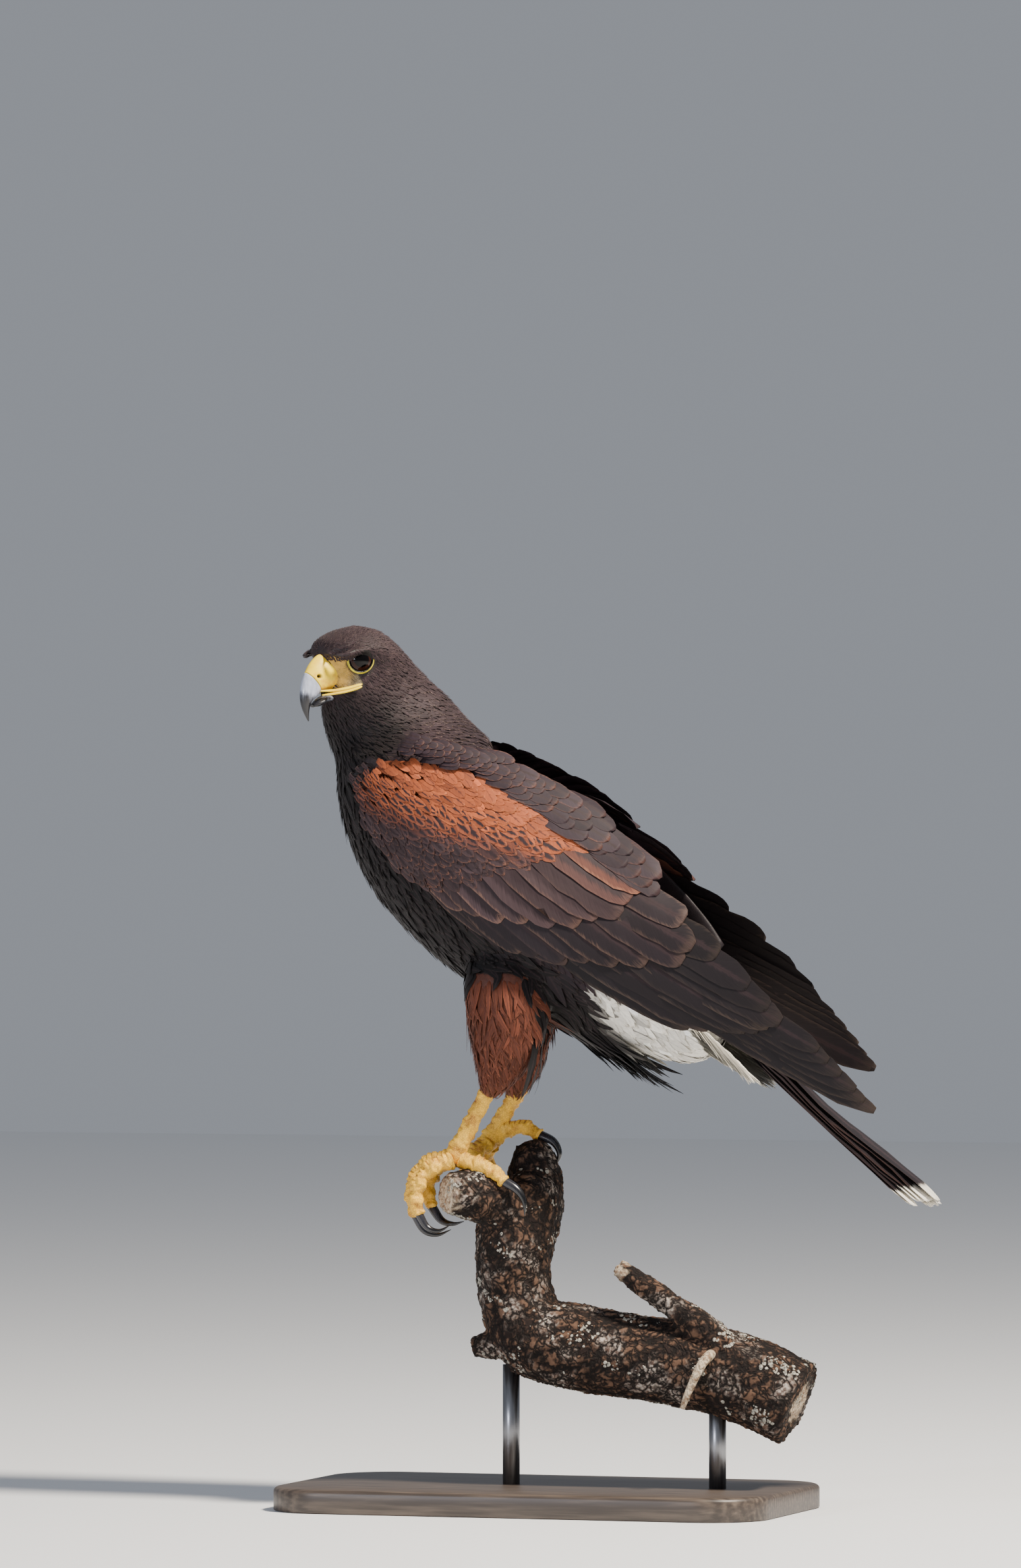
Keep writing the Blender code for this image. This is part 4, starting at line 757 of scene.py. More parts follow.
def grown(ground, roots, length, width, flow_at, tip_rise, shares, outline, marks, bake_at, bend):
    """Feathers that grow from spots of a skin and lie along it, rising to their tips."""
    spots, normals = ground.nearest(roots, np.zeros_like(roots))
    sway = chance.normal(0, bend, (len(roots), 1))
    centres, ups, ways = [], [], []
    before = 0.0
    for share in shares:
        way = flow_at(spots)
        way = unit(way - normals * (way * normals).sum(-1, keepdims=True))
        way = unit(way + np.cross(normals, way) * sway * (0.4 + share))
        if share > 0:
            spots, normals = ground.nearest(spots + way * (length * (share - before))[:, None], normals)
        before = share
        height = -COAT_SINK + (tip_rise + COAT_SINK) * share**COAT_CURL
        centres.append(spots + normals * height[:, None])
        ups.append(normals)
        ways.append(way)
    centres, ups = np.stack(centres, 1), np.stack(ups, 1)
    ways = unit(np.gradient(centres, axis=1))
    half = (width / 2)[:, None] * np.interp(shares, OUTLINE_AT, outline)
    marks = {**marks, "Long": length}
    return vanes(centres, ups, ways, half, COAT_THICK, COAT_CAMBER, shares, bake_at, COAT_PATCH, marks)


class Bed:
    """How high the feathers laid so far stand on a surface, millimetre by millimetre."""

    def __init__(self, low, high):
        self.low = np.array(low, float)
        self.top = np.full(tuple(int(b - a) + 1 for a, b in zip(low, high)), BED_HEIGHT)

    def cells(self, spots):
        places = np.rint(spots - self.low).astype(int)
        return tuple(np.clip(places[..., k], 0, self.top.shape[k] - 1) for k in (0, 1))

    def lay(self, centres, across, half, root_height, clear, stiff):
        """Heights of left edge, shaft and right edge of a vane that lies clear over all
        before it, sinks at its root and bends no more than it can."""
        stations = len(centres)
        steps = np.linspace(0, stations - 1, BED_STATIONS * (stations - 1) + 1)
        cross = np.linspace(-1, 1, BED_STRIPS)
        middle = np.stack([np.interp(steps, range(stations), centres[:, k]) for k in (0, 1)], -1)
        wide = np.interp(steps, range(stations), half)
        spots = middle[:, None] + across * (wide[:, None] * cross)[..., None]
        need = self.top[self.cells(spots)] + clear
        parts = np.stack([need[:, :5].max(1), need[:, 4:9].max(1), need[:, 8:].max(1)], -1)
        run = np.linalg.norm(centres - centres[0], axis=1)
        steps_run = np.interp(steps, range(stations), run)
        fall = np.abs(run[:, None] - steps_run[None]) * stiff
        held = steps_run > run[-1] * RUN_FREE
        heights = (parts[None, held] - fall[:, held, None]).max(1)
        sunk = np.clip(run / (run[-1] * RUN_SUNK), 0, 1)[:, None]
        heights = root_height * (1 - sunk) + heights * sunk
        dense = np.stack([np.interp(steps, range(stations), heights[:, k]) for k in range(3)], -1)
        level = np.where(cross < 0, -cross * dense[:, 0:1], cross * dense[:, 2:3])
        level = level + (1 - np.abs(cross)) * dense[:, 1:2]
        counted = steps_run > run[-1] * RUN_UNCOUNTED
        np.maximum.at(self.top, self.cells(spots[counted]), level[counted] + clear * 0.4)
        return heights


def along(line, share):
    """A point at a share of the way through evenly spread points."""
    line = np.array(line, float)
    return np.array([np.interp(share * (len(line) - 1), range(len(line)), line[:, k])
                     for k in range(line.shape[1])])


def laid_vanes(bed, place, feathers, shares, thick, clear, stiff, around=6):
    """Lays feathers one by one on a bed and makes their vanes. Each is a dict of root, tip,
    width, outline, bend, root height, its place on the bake's map and its marks."""
    rows = []
    marks = {key: [] for key in feathers[0]["marks"]}
    shares = np.array(shares)
    for feather in feathers:
        root, tip = np.array(feather["root"], float), np.array(feather["tip"], float)
        run = tip - root
        length = np.linalg.norm(run)
        across = np.array([-run[1], run[0]]) / length
        bow = across * (feather["bend"] * 4 * shares * (1 - shares))[:, None]
        centres = root + run * shares[:, None] + bow
        flat = place(centres[:, 0], centres[:, 1], np.zeros(len(shares)))
        ups = unit(place(centres[:, 0], centres[:, 1], np.ones(len(shares))) - flat)
        ways = unit(np.gradient(flat, axis=0))
        beside = place(centres[:, 0] + across[0], centres[:, 1] + across[1], np.zeros(len(shares)))
        if ((beside - flat) * np.cross(ways, ups)).sum() < 0:
            across = -across
        half = feather["width"] / 2 * np.interp(shares, OUTLINE_AT, feather["outline"])
        heights = bed.lay(centres, across, half, feather["sunk"], clear, stiff)
        rows.append((flat, ups, ways, half, heights, feather["bake"], feather["patch"]))
        for key, value in feather["marks"].items():
            marks[key].append(value)
        marks.setdefault("Long", []).append(length)
    marks = {key: np.array(value, float) for key, value in marks.items()}
    centres, ups, ways, half, lifts, roots, patch = (np.array(column) for column in zip(*rows))
    return vanes(centres, ups, ways, half, thick, LAID_CAMBER, shares, roots,
                 patch[:, None, None, None], marks, lifts=lifts, around=around)
# Kinds of node, some with settings. A step is smooth; with FALLING it goes from one to nought.
NOISE, CELLS, READ = "ShaderNodeTexNoise", "ShaderNodeTexVoronoi", "ShaderNodeAttribute"
STEP = ("ShaderNodeMapRange", {"interpolation_type": "SMOOTHSTEP"})
FALLING = (1, 0)
MIX = ("ShaderNodeMix", {"data_type": "RGBA"})
SHADE = ("ShaderNodeMix", {"data_type": "RGBA", "blend_type": "MULTIPLY"})
TIMES, TIMES_PLUS, PLUS, MINUS, OVER, LARGER, SIZE, SINE = (
    ("ShaderNodeMath", {"operation": name}) for name in
    ("MULTIPLY", "MULTIPLY_ADD", "ADD", "SUBTRACT", "DIVIDE", "MAXIMUM", "ABSOLUTE", "SINE"))


def made_by(recipe, name, **values):
    """A material made by a recipe. The recipe gets a way to add nodes and the place of each
    spot on its object, and gives the shader's colour and roughness, a relief as its height,
    strength and depth in millimetres, and the shader's other sockets."""
    made = bpy.data.materials.new(name)
    made.use_nodes = True
    made.node_tree.nodes.clear()
    add = partial(node, made.node_tree)
    place = add("ShaderNodeTexCoord").outputs["Object"]
    colour, roughness, relief, more = recipe(add, place, **values)
    sockets = {"Base Color": colour, "Roughness": roughness, **more}
    if relief:
        sockets["Normal"] = add("ShaderNodeBump", {
            "Height": relief[0], "Strength": relief[1], "Distance": relief[2] * MM})
    add("ShaderNodeOutputMaterial", {"Surface": add("ShaderNodeBsdfPrincipled", sockets)})
    return made


def feather_vane(add, place, roughness, barb_mm, sheen, streaky, worn, white_tip=False):
    """A keratin vane: barbs run slantwise off a shaft, and the edge wears paler.

    Barbs are 0.1 mm apart in life, which can't show; they are drawn in bundles of barb_mm,
    a little wider on a longer feather, with a relief of a tenth of a millimetre. streaky is
    how strongly the bundles shade the vane and worn how much of the edge's colour shows."""
    uv = add("ShaderNodeUVMap", uv_map="Feather")
    across, down = add("ShaderNodeSeparateXYZ", {0: uv}).outputs[:2]
    tint, fringe = (add(READ, attribute_name=kind).outputs["Color"] for kind in ("Tint", "Fringe"))
    streak, length = (add(READ, attribute_name=kind).outputs["Fac"] for kind in ("Streak", "Long"))
    off_shaft = add(TIMES_PLUS, (across, 2, -1))
    side = add(SIZE, (off_shaft,))
    run = add(TIMES, (down, length))
    lean = add(TIMES, (length, -0.16))
    slant = add(TIMES_PLUS, (side, lean, run))

    wander = add(NOISE, {"Vector": place, "Scale": 260, "Detail": 3})
    barb = add(TIMES_PLUS, (length, 0.003, barb_mm))
    barbs = add(OVER, (slant, barb))
    bundles = add(TIMES_PLUS, (wander, 2.2, barbs))
    turns = add(TIMES, (bundles, math.tau))
    wave = add(SINE, (turns,))
    strand = add(OVER, (slant, 1.3))
    sideways = add(TIMES, (across, 2.2))
    strands = add("ShaderNodeCombineXYZ", {0: strand, 1: sideways, 2: length})
    parting = add(NOISE, {"Vector": strands, "Scale": 1, "Detail": 3})
    loose = add(TIMES_PLUS, (wander, 0.2, -0.35))
    fray = add(TIMES_PLUS, (parting, 0.5, loose))
    frayed_side = add(PLUS, (side, fray))
    frayed_end = add(TIMES_PLUS, (fray, 0.3, down))

    grown_out = add(STEP, (down, 0.25, 0.5))
    outer = add(STEP, (frayed_side, 0.78, 1.02))
    rim = add(TIMES, (outer, grown_out))
    tip = add(STEP, (frayed_end, 0.9, 1))
    edge = add(LARGER, (rim, tip))
    narrow = add(TIMES, (streak, 0.3))
    wide = add(TIMES_PLUS, (streak, 0.75, 0.08))
    centre = add(STEP, (frayed_side, narrow, wide, *FALLING))
    along_vane = add(STEP, (down, 0.12, 0.45))
    middle = add(TIMES, (centre, along_vane))
    streaked = add(TIMES, (streak, 4), use_clamp=True)
    dark = add(TIMES, (middle, streaked))
    colour = add(MIX, {0: dark, 6: tint, 7: STREAK_VANE})
    faded = add(TIMES, (edge, worn))
    colour = add(MIX, {0: faded, 6: colour, 7: fringe})
    if white_tip:
        ragged = add(TIMES_PLUS, (fray, 0.12, down))
        band = add(STEP, (ragged, 0.91, 0.93))
        colour = add(MIX, {0: band, 6: colour, 7: WHITE_VANE})
    shade = add(TIMES_PLUS, (parting, 0.6, 0.7))
    grain = add(TIMES_PLUS, (wave, streaky, shade))
    colour = add(SHADE, {0: 1, 6: colour, 7: grain})
    shaft = add(STEP, (side, 0.02, 0.06, *FALLING))
    shaft_line = add(TIMES, (shaft, 0.3))
    colour = add(MIX, {0: shaft_line, 6: colour, 7: linear("#1c1412")})
    ridges = add(TIMES_PLUS, (parting, 1.5, wave))
    relief = add(TIMES_PLUS, (shaft, 0.8, ridges))
    return colour, roughness, (relief, 0.12, 0.1), {
        "Specular IOR Level": 0.18, "Sheen Weight": sheen, "Sheen Roughness": 0.5}


def bird_skin(add, place):
    """Bird skin, coloured like the coat over it: soft, matt and blotched, with fine pores."""
    tint = add(READ, attribute_name="Tint").outputs["Color"]
    blotch = add(NOISE, {"Vector": place, "Scale": 420, "Detail": 4})
    pores = add(CELLS, {"Vector": place, "Scale": 1300})
    shade = add(STEP, (blotch, 0.25, 0.75, 0.72, 1.12))
    colour = add(SHADE, {0: 1, 6: tint, 7: shade})
    return colour, 0.55, (pores, 0.4, 0.15), {"Specular IOR Level": 0.4}


def waxy_cere(add, place):
    """Waxy bare skin: smooth, a little see-through at the surface, with fine creases."""
    pit, stain = (add(READ, attribute_name=kind).outputs["Fac"] for kind in ("PitShade", "Stain"))
    blotch = add(NOISE, {"Vector": place, "Scale": 260, "Detail": 5})
    creases = add(NOISE, {"Vector": place, "Scale": 1500, "Detail": 3})
    stained = add(TIMES_PLUS, (stain, 0.3, blotch))
    warm = add(STEP, (stained, 0.46, 0.95))
    colour = add(MIX, {0: warm, 6: linear("#f4d22c"), 7: linear("#d39c2c")})
    # The nostril's pit is painted dark brown: painted shade in the hole.
    colour = add(MIX, {0: pit, 6: colour, 7: linear("#2a1208")})
    return colour, 0.4, (creases, 0.25, 0.15), {
        "IOR": 1.45, "Subsurface Weight": 0.12, "Subsurface Radius": (1, 0.5, 0.15),
        "Subsurface Scale": 1.5 * MM}


def grown_horn(add, place, pale, dark, low, high, roughness):
    """Keratin horn grown in layers and worn to a polish: pale at the root, black at the tip,
    with faint streaks along its growth."""
    growth = add(READ, attribute_name="Growth").outputs["Fac"]
    lengthwise = add("ShaderNodeMapping", {"Vector": place, "Scale": (1, 1, 0.22)})
    streaks = add(NOISE, {"Vector": lengthwise, "Scale": 900, "Detail": 4})
    cloud = add(NOISE, {"Vector": place, "Scale": 160, "Detail": 2})
    clouded = add(TIMES_PLUS, (cloud, 0.2, -0.24))
    ragged = add(TIMES_PLUS, (streaks, 0.28, clouded))
    grown_far = add(PLUS, (growth, ragged))
    share = add(STEP, (grown_far, low, high))
    faint = add(STEP, (streaks, 0.3, 0.7))
    streaked = add(MIX, {0: faint, 6: pale, 7: mixed(pale, dark, 0.25)})
    colour = add(MIX, {0: share, 6: streaked, 7: dark})
    return colour, roughness, (streaks, 0.2, 0.1), {
        "IOR": 1.54, "Coat Weight": 0.25, "Coat Roughness": 0.15}


def wet_eye(add, place):
    """A wet eyeball: near-black pupil in a dark brown iris with fine flecks, under tears."""
    gaze = add(READ, attribute_name="Gaze").outputs["Fac"]
    flecks = add(NOISE, {"Vector": place, "Scale": 2200, "Detail": 2})
    light = add(STEP, (flecks, 0.3, 0.7))
    iris = add(MIX, {0: light, 6: linear("#1c0d08"), 7: linear("#34180d")})
    beyond_pupil = add(STEP, (gaze, 29, 31.5))
    colour = add(MIX, {0: beyond_pupil, 6: linear("#030202"), 7: iris})
    beyond_iris = add(STEP, (gaze, 43, 47))
    colour = add(MIX, {0: beyond_iris, 6: colour, 7: linear("#0a0706")})
    return colour, 0.05, None, {"IOR": 1.38, "Specular IOR Level": 0.35}


def eyelid_rim(add, place):
    """The thin bare rim of the lids: yellow-green outside, black where it meets the eye."""
    inner = add(READ, attribute_name="Inner").outputs["Fac"]
    beads = add(CELLS, {"Vector": place, "Scale": 1500})
    blotch = add(NOISE, {"Vector": place, "Scale": 300})
    dull = add(STEP, (blotch, 0.35, 0.65))
    colour = add(MIX, {0: dull, 6: linear("#d8c522"), 7: linear("#a39a24")})
    lash = add(STEP, (inner, 0.3, 0.6))
    colour = add(MIX, {0: lash, 6: colour, 7: linear("#0b0807")})
    return colour, 0.4, (beads, 0.4, 0.2), {"IOR": 1.45}


def scaly_foot(add, place):
    """Scaly bare skin of the feet: leathery and yellow, rust-stained between the scales."""
    groove = add(READ, attribute_name="Groove").outputs["Fac"]
    scales = add(CELLS, {"Vector": place, "Scale": 900}, feature="DISTANCE_TO_EDGE")
    blotch = add(NOISE, {"Vector": place, "Scale": 130, "Detail": 5})
    between = add(STEP, (scales, 0.02, 0.14, *FALLING))
    seams = add(TIMES, (between, 0.55))
    deepest = add(LARGER, (seams, groove))
    stain = add(TIMES, (deepest, 0.7))
    patches = add(STEP, (blotch, 0.45, 0.75))
    rust = add(TIMES_PLUS, (patches, 0.55, stain), use_clamp=True)
    colour = add(MIX, {0: rust, 6: linear("#f4c03e"), 7: linear("#8a4720")})
    relief = add(MINUS, (1, between))
    return colour, 0.5, (relief, 0.6, 0.2), {"IOR": 1.45, "Specular IOR Level": 0.45}


def bristle_horn(add, place):
    """Hair-like bristles without barbs: dark keratin, some bleached nearly white."""
    mottle = add(NOISE, {"Vector": place, "Scale": 700, "Detail": 1})
    bleached = add(STEP, (mottle, 0.56, 0.66))
    colour = add(MIX, {0: bleached, 6: linear("#191314"), 7: linear("#b7ab98")})
    return colour, 0.5, None, {"Specular IOR Level": 0.4}


def weathered_bark(add, place):
    """Weathered bark of a dead branch: brown plates between dark seams, grey in patches, and
    bare pale wood where it has broken."""
    bare, depth = (add(READ, attribute_name=kind).outputs["Fac"] for kind in ("Bare", "Relief"))
    patches = add(NOISE, {"Vector": place, "Scale": 45, "Detail": 6})
    fine = add(NOISE, {"Vector": place, "Scale": 420, "Detail": 8, "Roughness": 0.65})
    stretch = add("ShaderNodeMapping", {"Vector": place, "Scale": (0.5, 1, 0.35)})
    drift = add(NOISE, {"Vector": place, "Scale": 90, "Detail": 3}).outputs["Color"]
    bent = add("ShaderNodeVectorMath", {0: drift, 1: (0.012, 0.012, 0.012), 2: stretch},
                operation="MULTIPLY_ADD")
    cracks = add(CELLS, {"Vector": bent, "Scale": 300}, feature="DISTANCE_TO_EDGE")
    rough = add(MINUS, (fine, 0.5))
    ridge = add(PLUS, (depth, rough))
    high = add(STEP, (ridge, -0.25, 0.75))
    colour = add(MIX, {0: high, 6: linear("#1f1613"), 7: linear("#604839")})
    worn = add(STEP, (fine, 0.4, 0.62))
    grey = add(MIX, {0: worn, 6: linear("#4b3c36"), 7: linear("#aba096")})
    weathered = add(STEP, (patches, 0.5, 0.66))
    colour = add(MIX, {0: weathered, 6: colour, 7: grey})
    plates = add(STEP, (cracks, 0, 0.26))
    colour = add(MIX, {0: plates, 6: linear("#130e0c"), 7: colour})
    fibres = add(STEP, (fine, 0.35, 0.65))
    wood = add(MIX, {0: fibres, 6: linear("#7f6650"), 7: linear("#d3c3aa")})
    colour = add(MIX, {0: bare, 6: colour, 7: wood})
    relief = add(TIMES_PLUS, (plates, 1.3, fine))
    return colour, 0.9, (relief, 0.7, 0.9), {"Specular IOR Level": 0.25}


def crusty_lichen(add, place):
    """Crusty lichen: dry and chalky, in warm greys."""
    crumbs = add(NOISE, {"Vector": place, "Scale": 900, "Detail": 6})
    chalk = add(STEP, (crumbs, 0.35, 0.7))
    colour = add(MIX, {0: chalk, 6: linear("#74726a"), 7: linear("#b9b4a8")})
    return colour, 0.95, (crumbs, 0.8, 0.3), {"Specular IOR Level": 0.2}


def stained_ash(add, place):
    """Ash board stained dark and oiled: straight grain about a millimetre wide, satin."""
    lengthwise = add("ShaderNodeMapping", {"Vector": place, "Scale": (0.06, 1, 1)})
    grain = add(NOISE, {"Vector": lengthwise, "Scale": 420, "Detail": 5})
    rings = add("ShaderNodeTexWave", {
        "Vector": lengthwise, "Scale": 75, "Distortion": 9, "Detail": 4, "Detail Scale": 0.6},
        bands_direction="Y").outputs["Fac"]
    pores = add(TIMES, (grain, 0.8))
    figure = add(TIMES_PLUS, (rings, 0.16, pores))
    share = add(STEP, (figure, 0.3, 0.85))
    colour = add(MIX, {0: share, 6: linear("#3a322d"), 7: linear("#6a5d52")})
    return colour, 0.42, (grain, 0.25, 0.1), {"IOR": 1.5}


def drawn_steel(add, place):
    """Bright drawn mild steel rod, brushed lengthwise: fine upright lines in the gloss."""
    lengthwise = add("ShaderNodeMapping", {"Vector": place, "Scale": (1, 1, 0.02)})
    drawn = add(NOISE, {"Vector": lengthwise, "Scale": 2500, "Detail": 3})
    lines = add(STEP, (drawn, 0.3, 0.7))
    gloss = add(TIMES_PLUS, (lines, 0.14, 0.28))
    colour = add(MIX, {0: lines, 6: linear("#85868a"), 7: linear("#9b9ca0")})
    return colour, gloss, None, {"Metallic": 1}


def studio_paper(add, place):
    """Matt white studio paper with a hint of tooth."""
    tooth = add(NOISE, {"Vector": place, "Scale": 300, "Detail": 4})
    colour = add(MIX, {0: tooth, 6: linear("#dfe1e4"), 7: linear("#e6e8ea")})
    return colour, 0.9, None, {"Specular IOR Level": 0.2}


feather_skin = made_by(bird_skin, "bird_skin")
body_vane = made_by(feather_vane, "contour_feather", roughness=0.6, barb_mm=0.25,
                    sheen=0.05, streaky=0.04, worn=0.85)
wing_vane = made_by(feather_vane, "wing_feather", roughness=0.58, barb_mm=0.3,
                    sheen=0.03, streaky=0.03, worn=0.6)
tail_vane = made_by(feather_vane, "tail_feather", roughness=0.5, barb_mm=0.3,
                    sheen=0.03, streaky=0.03, worn=0.5, white_tip=True)
plume_vane = made_by(feather_vane, "down_plume", roughness=0.75, barb_mm=0.4,
                     sheen=0.2, streaky=0.08, worn=0.85)


def show(piece, slot_name, *nodes):
    """Parents a finished piece to the body's root empty and hides the model's parts that it stands in for.
    """
    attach(piece, "root")
    if nodes:
        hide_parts(*nodes)
    return piece


# The skin's rings to a level and points to a ring, and how its forms are melted into one.
SKIN_RINGS, SKIN_POINTS = 6, 96
SKIN_VOXEL, SKIN_SMOOTHING = 1.3, 6
# How deep the thigh's skin lies under its coat, and its least half width.
THIGH_COAT, THIGH_LEAST = 2.5, 2.8
# An eye's socket: distances along the gaze from the eye's middle, and radii.
SOCKET = ((-0.5, 9.2), (3.5, 8.4), (5.9, 6.9), (13.5, 9.4))


def body_net(rings, count):
    """Levels and angles of a net over the body, with so many rings to a level."""
    level = np.linspace(0, LAST_LEVEL, rings * LAST_LEVEL + 1)[:, None]
    return np.broadcast_arrays(level, once_round(count)[None, :])


def skin_at(level, angle):
    return body_at(level, angle, np.interp(level, COAT_LEVELS, COAT_DEPTHS))


def brow_rings(side):
    """The ridge of a brow over the eye."""
    rows = evenly([(f, side * s, u, r) for f, s, u, r in BROW], 25)
    return tube([head_point(*row[:3]) for row in rows], [max(row[3] - BROW_COAT, 0.4) for row in rows], 16)


def thigh_rings(levels):
    """The skin of a thigh, sunk under its coat."""
    rings = []
    for x, y, z, long, wide in evenly([[*centre, long, wide] for centre, long, wide in levels], 60):
        fore, out = (max(size - THIGH_COAT, THIGH_LEAST) for size in (long / 2, wide))
        rings.append([(x + fore * math.cos(a), y + out * math.sin(a), z) for a in once_round(60)])
    return rings


def cut_socket(skin, side):
    """Cuts the socket of one eye out of the skin."""
    centre, gaze = eye_middle(side), eye_gaze(side)
    path = [centre + gaze * depth for depth, _ in SOCKET]
    socket = lofted("socket", [loft(tube(path, [radius for _, radius in SOCKET], 40))], feather_skin)
    cutting = skin.modifiers.new("socket", "BOOLEAN")
    cutting.operation = "DIFFERENCE"
    cutting.solver = "MANIFOLD"
    cutting.object = socket
    baked(skin)
    bpy.data.objects.remove(socket)


def make_skin():
    """One skin over head, neck, torso, thighs and tail base, with its eye sockets."""
    lofts = [loft(skin_at(*body_net(SKIN_RINGS, SKIN_POINTS)))]
    lofts += [loft(brow_rings(side)) for side in SIDES]
    lofts += [loft(thigh_rings(levels)) for levels in THIGH_LEVELS.values()]
    skin = melted(lofted("hawk_skin", lofts, feather_skin), SKIN_VOXEL, SKIN_SMOOTHING)
    for side in SIDES:
        cut_socket(skin, side)
    return smoothly_shaded(skin)


def eye_middle(side):
    return head_point(EYE_CENTRE[0], side * EYE_CENTRE[1], EYE_CENTRE[2])


def eye_gaze(side):
    away = math.radians(EYE_FORWARD_DEG)
    return (head_point(math.sin(away), side * math.cos(away), 0) - head_point(0, 0, 0)).normalized()


class BodyMap:
    """Tells the level and angle of the body's own shape that a spot is nearest to."""

    def __init__(self):
        self.level, self.angle = (values.ravel() for values in body_net(8, 144))
        self.tree = quick_tree(skin_at(self.level, self.angle))

    def read(self, spots):
        """Level, angle and distance of each spot."""
        found = [self.tree.find(p) for p in spots]
        index = np.array([f[1] for f in found])
        return self.level[index], self.angle[index], np.array([f[2] for f in found])


# How far from the head's middle the bare patches and the bristles begin.
FACE_OUT = 5.0


def in_lores(spots):
    """Whether spots lie in the bare patch before the eye."""
    head = to_head(spots)
    forward, up = head[..., 0], head[..., 2]
    inside = np.zeros(forward.shape, bool)
    for (f0, u0), (f1, u1) in zip(LORES, (*LORES[1:], LORES[0])):
        crosses = (u0 > up) != (u1 > up)
        with np.errstate(divide="ignore", invalid="ignore"):
            at = f0 + (up - u0) / (u1 - u0) * (f1 - f0)
        inside ^= crosses & (forward < at)
    return inside & (np.abs(head[..., 1]) > FACE_OUT)


def eye_distance(spots):
    """How far spots lie from the line of sight of the nearer eye; 99 behind both eyes."""
    best = np.full(spots.shape[:-1], 99)
    for side in SIDES:
        away = spots - np.array(eye_middle(side))
        gaze = np.array(eye_gaze(side))
        out = away @ gaze
        beside = np.linalg.norm(away - out[..., None] * gaze, axis=-1)
        best = np.where(out > 0, np.minimum(best, beside), best)
    return best


# The thighs' own coat: its lowest and highest point, how far it reaches past the thighs'
# shape, and the hind upper corner that belongs to the body, as a share of the thigh's
# length behind its middle and a height.
THIGH_LOW, THIGH_HIGH = 236, 313
THIGH_REACH = 1.12
THIGH_HIND, THIGH_HIND_LOW = 0.36, 277


def thigh_of(spots):
    """Whether spots are on a thigh below the belly, by the thigh's own rows."""
    found = np.zeros(len(spots), bool)
    height = spots[:, 2]
    for levels in THIGH_LEVELS.values():
        rows = np.array([[*centre, long, wide] for centre, long, wide in levels])
        x, y, long, wide = (np.interp(-height, -rows[:, 2], rows[:, k]) for k in (0, 1, 3, 4))
        out = np.sqrt(((spots[:, 0] - x) / (long / 2)) ** 2 + ((spots[:, 1] - y) / wide) ** 2)
        behind = (spots[:, 0] - x > THIGH_HIND * long) & (height > THIGH_HIND_LOW)
        found |= (out < THIGH_REACH) & ~behind & (height < THIGH_HIGH) & (height > THIGH_LOW)
    return found


# The coat turns white past a leaning line through this point, but not above the last height;
# past the last levels the body is white all round.
WHITE_X, WHITE_Z, WHITE_LEAN = 27, 305, 0.5
WHITE_TOP = (322, 314)
WHITE_LEVELS = (19.6, 20.6)


def white_share(spots, level):
    """How white the coat is towards the tail."""
    line = spots[:, 0] - WHITE_X - (WHITE_Z - spots[:, 2]) * WHITE_LEAN
    return np.maximum(ramp(line, -4, 5) * ramp(spots[:, 2], *WHITE_TOP), ramp(level, *WHITE_LEVELS))


def coat_colours(spots, level, angle, thigh):
    """The plumage's vane and edge colour at each spot; the front below the head is near black, painted
    shade over its own dark brown.
    """
    # under marks the front below the head, which turns near black: painted shade on the bird's own dark
    # brown.
    under = ramp(np.cos(angle), -0.05, 0.5) * ramp(level, 5.4, 7.5)
    nape = ramp(level, 6, 9) * (1 - ramp(level, 13, 16))
    vane = mixed(DARK_VANE, MANTLE_VANE, ramp(level, 7, 12))
    edge = mixed(DARK_EDGE, MANTLE_EDGE, ramp(level, 9, 13))
    vane = mixed(vane, SHADED_UNDER_VANE, under)
    edge = mixed(edge, SHADED_UNDER_EDGE, under * 0.85)
    edge = mixed(edge, NAPE_EDGE, nape * (1 - under) * 0.35)
    white = white_share(spots, level)
    vane = mixed(vane, WHITE_VANE, white)
    edge = mixed(edge, WHITE_EDGE, white)
    low = ramp(spots[:, 2], 262, 250)
    vane = mixed(vane, mixed(THIGH_VANE, LOW_THIGH_VANE, low * 0.35), thigh)
    edge = mixed(edge, mixed(THIGH_EDGE, LOW_THIGH_EDGE, low * 0.5), thigh)
    return vane, edge


def varied(vane, edge, amount, plain):
    """Each feather a little lighter or darker than the next, with more or less edge."""
    light = np.exp(chance.normal(0, amount, (len(vane), 1)))
    worn = chance.random((len(vane), 1)) ** plain
    vane, edge = np.array(vane) * light, np.array(edge) * light
    return np.clip(vane, 0, 0.9), np.clip(vane * (1 - worn) + edge * worn, 0, 0.95)


# Which way the coat hangs on the thighs and at the vent.
THIGH_HANG = (0.12, 0, -1)
VENT_HANG = (0.25, 0, -0.97)


def body_flow(body_map):
    """The lie of the coat: back over head and neck, and down the body line."""
    down_line = np.array([LINE_DIRECTION[0], 0, LINE_DIRECTION[1]])

    def flow(spots):
        level, _, _ = body_map.read(spots)
        turn = np.radians(np.interp(level, range(len(BODY_ROWS)), BODY_ROWS[:, 6]))
        back = np.stack([np.cos(turn), np.sin(turn), np.zeros(len(turn))], -1)
        head = back * 0.85 + np.array([0, 0, -1]) * ramp(level, 1, 6)[:, None] * 0.55
        way = mixed(head, down_line, ramp(level, 8, 13))
        vent = ramp(spots[:, 0], -8, 8) * ramp(spots[:, 2], 300, 284) * (1 - white_share(spots, level))
        way = mixed(way, VENT_HANG, vent * 0.8)
        return mixed(way, THIGH_HANG, thigh_of(spots).astype(float))
    return flow


# Where a folded wing covers the body: from the first to the last tau, and this far inside
# the arm's lower and upper rise.
COVERED_TAU = (26, 205)
COVERED_LOW, COVERED_HIGH = 9, 16
# How near the middle of the back the wings cover nothing.
BETWEEN_WINGS = 12


